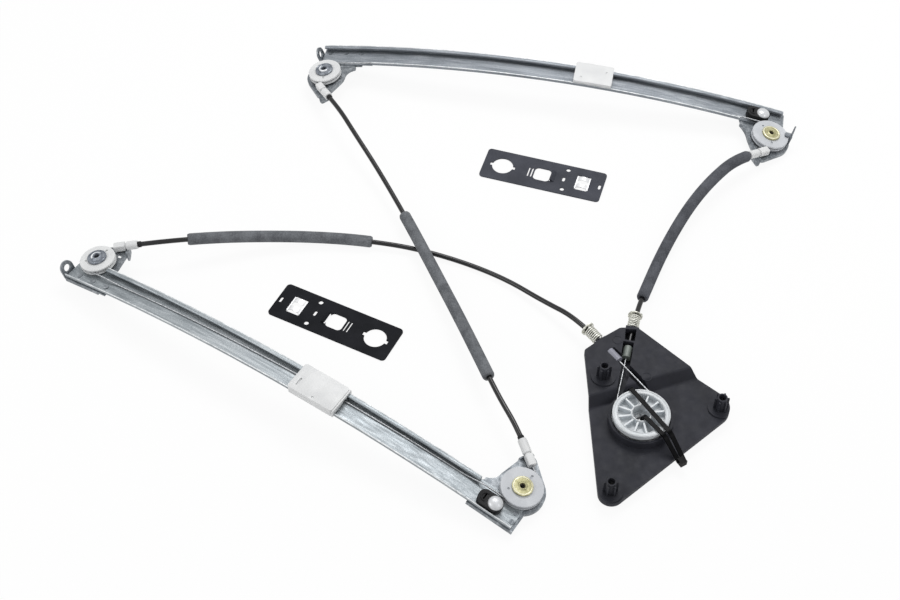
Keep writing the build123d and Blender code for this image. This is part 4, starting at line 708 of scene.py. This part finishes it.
dome_finish = moulded("polished_pin_head", "c3c5c8", "dadbdd", (0.25, 0.4), 0.02, Metallic=0.3)
dome_angles = [pi / 2 * i / DOME_STEPS for i in range(DOME_STEPS + 1)]
dome = [(DOME_RADIUS * sin(angle), BUFFER_TOP + DOME_RISE * cos(angle)) for angle in dome_angles]
dome.append((0, BUFFER_TOP))
for number, y in BUFFER_Y.items():
    turned(
        f"buffer_pin_{number}_dome", on_rail(number, PULLEY_STATION, BUFFER_PIN_X, y), dome,
        (dome_finish, "frame", ZINC_SLOT), closed=False,
    )
    wire_arc(
        f"buffer_{number}_crescent", on_rail(number, PULLEY_STATION, BUFFER_SLOT_X, y, BUFFER_TOP + 0.2),
        (materials["rubber"], "frame", "rubber"), **BUFFER_CRESCENT,
    )

# ------------------------------------------------------------------ end coils of the tension springs

WASHER_FACE = {"a": (125.5, 18.0, 108.7), "b": (76.0, 15.2, 118.5)}  # heading, level, distance along it
CABLE_WIND_RADIUS = 25.05
END_COIL = {"radius": 6.7, "height": 2.1, "turns": 1.6, "wire_radius": 0.5, "steps": 40}
UP = Vector((0, 0, 1))
for letter, (heading, level, along) in WASHER_FACE.items():
    leaving = radians(heading - 90 if letter == "a" else heading + 90)  # where the cable leaves the drum
    way = Vector((cos(radians(heading)), sin(radians(heading)), 0))
    foot = Vector((cos(leaving), sin(leaving), 0)) * CABLE_WIND_RADIUS + way * along + UP * level
    wire_coil(
        f"tension_spring_{letter}_end_coil", seat(foot, UP.cross(way), UP, way),
        (materials["spring_steel"], "frame", "spring_steel"), **END_COIL,
    )

# ------------------------------------------------------------------ drum

DRUM_TOP = 25.0
DRUM_LIPS = {  # radius and height over the drum's top face, and sides
    "drum_rim_lip": ([(24.9, -0.4), (25.1, 0.35), (25.6, 0.5), (26.3, 0.3), (26.6, -0.4)], 96),
    "drum_pocket_lip": ([(21.9, -0.4), (22.0, 0.2), (22.3, 0.3), (22.7, 0.15), (22.9, -0.4)], 96),
    "drum_hub_lip": ([(8.5, -0.4), (8.6, 0.25), (9.1, 0.4), (9.6, 0.25), (9.8, -0.4)], 72),
}
BORE_BUSH = [(4.9, 11.0), (4.9, 15.2), (5.2, 15.6), (5.8, 15.6), (5.95, 15.2), (5.95, 11.0)]
drum_seat = Matrix.Identity(4)
for lip_name, (profile, sides) in DRUM_LIPS.items():
    nylon_look = (materials["clear_nylon"], "drum", "clear_nylon")
    turned(lip_name, drum_seat, over(DRUM_TOP, profile), nylon_look, sides=sides)
turned("drum_bore_bush", drum_seat, BORE_BUSH, (highlight_and_bush_finish, "drum", "clear_nylon"), sides=72)

# ------------------------------------------------------------------ slider 1's lower end

SLIDER_END_1 = 44 + 25  # the slider's place on its rail, and half its length
END_WALL = 1.6
END_WALL_EDGE = 0.5
WALL_FOOT = 1.5  # over the web
SKIRT_Y = 15.1
SKIRT_INNER_Y = 13.5
SHOULDER_RADIUS = 2.0
SHOULDER_Z = 7.9
CABLE_ARCH = (3.0, 3.4, 3.2)  # across, height and radius
FLANGE_ARCH = (-12.1, 3.6, 1.4)
FLAT_SPAN = (-3.2, -10.8)  # between the two arches
HEM_GAP_Y = 8.1  # room for the rail's hem, out to the skirt
HEM_GAP_Z = 7.2
HEM_GAP_FOOT = 5.6


def arch(y, z, radius, start, stop, steps=10):
    """Points of an arc in the rail's section, by angle in degrees from the hem side."""
    angles = [radians(start + (stop - start) * i / steps) for i in range(steps + 1)]
    return [(y + radius * cos(a), z + radius * sin(a)) for a in angles]


def slider_end_wall():
    """The wall that closes the slider's lower end, arched over the cable and notched round the hem."""
    shoulder_y = SKIRT_Y - SHOULDER_RADIUS
    outline = [
        (-SKIRT_Y, WALL_FOOT), *arch(-shoulder_y, SHOULDER_Z, SHOULDER_RADIUS, 180, 90, 5),
        *arch(shoulder_y, SHOULDER_Z, SHOULDER_RADIUS, 90, 0, 5), (SKIRT_Y, WALL_FOOT),
        (SKIRT_INNER_Y, WALL_FOOT), (SKIRT_INNER_Y, HEM_GAP_Z), (HEM_GAP_Y, HEM_GAP_Z),
        (HEM_GAP_Y, HEM_GAP_FOOT), *arch(*CABLE_ARCH, 20, 160), *((y, CABLE_ARCH[1]) for y in FLAT_SPAN),
        *arch(*FLANGE_ARCH, 20, 180, 6), (-SKIRT_INNER_Y, WALL_FOOT),
    ]
    wall = bmesh.new()
    face = wall.faces.new([wall.verts.new((0, y * MM, z * MM)) for y, z in outline])
    grown = bmesh.ops.extrude_face_region(wall, geom=[face])
    moved = [item for item in grown["geom"] if isinstance(item, bmesh.types.BMVert)]
    bmesh.ops.translate(wall, verts=moved, vec=(END_WALL * MM, 0, 0))
    outer_rim = [e for e in wall.edges if all(v.co.x > END_WALL * MM * 0.9 for v in e.verts)]
    bmesh.ops.bevel(
        wall, geom=outer_rim, offset=END_WALL_EDGE * MM, segments=3, profile=0.5, affect="EDGES"
    )
    bmesh.ops.recalc_face_normals(wall, faces=wall.faces)
    data = bpy.data.meshes.new("slider_1_end_wall")
    wall.to_mesh(data)
    wall.free()
    look = (materials["white_plastic"], "slider_1_body", "white_plastic")
    settle("slider_1_end_wall", data, on_rail(1, SLIDER_END_1), look)


slider_end_wall()

# ------------------------------------------------------------------ floor, in metres

FLOOR_HALF = 4
FLOOR_LEVEL = -0.0004
FLOOR_OWN_WHITE = 0.92  # share of the floor that stays white in the object's shadow

floor_mesh = bpy.data.meshes.new("floor")
corner_signs = ((-1, -1), (1, -1), (1, 1), (-1, 1))
floor_corners = [(x * FLOOR_HALF, y * FLOOR_HALF, FLOOR_LEVEL) for x, y in corner_signs]
floor_mesh.from_pydata(floor_corners, [], [(0, 1, 2, 3)])
floor = bpy.data.objects.new("floor", floor_mesh)
bpy.context.collection.objects.link(floor)
paper = Material("white_paper", (0.9, 0.9, 0.9), 0.9, Specular_IOR_Level=0.0)
white = paper.node("ShaderNodeEmission")
white.inputs["Color"].default_value = WHITE
white.inputs["Strength"].default_value = 1.0
share = paper.node("ShaderNodeMath", operation="MULTIPLY")
share.inputs[1].default_value = FLOOR_OWN_WHITE
mix = paper.node("ShaderNodeMixShader")
paper.link(seen_or_mirrored(paper.tree), share.inputs[0])
paper.link(share.outputs["Value"], mix.inputs["Fac"])
paper.link(paper.shader.outputs["BSDF"], mix.inputs[1])
paper.link(white.outputs["Emission"], mix.inputs[2])
paper.link(mix.outputs["Shader"], paper.tree.nodes["Material Output"].inputs["Surface"])
floor_mesh.materials.append(paper.made)
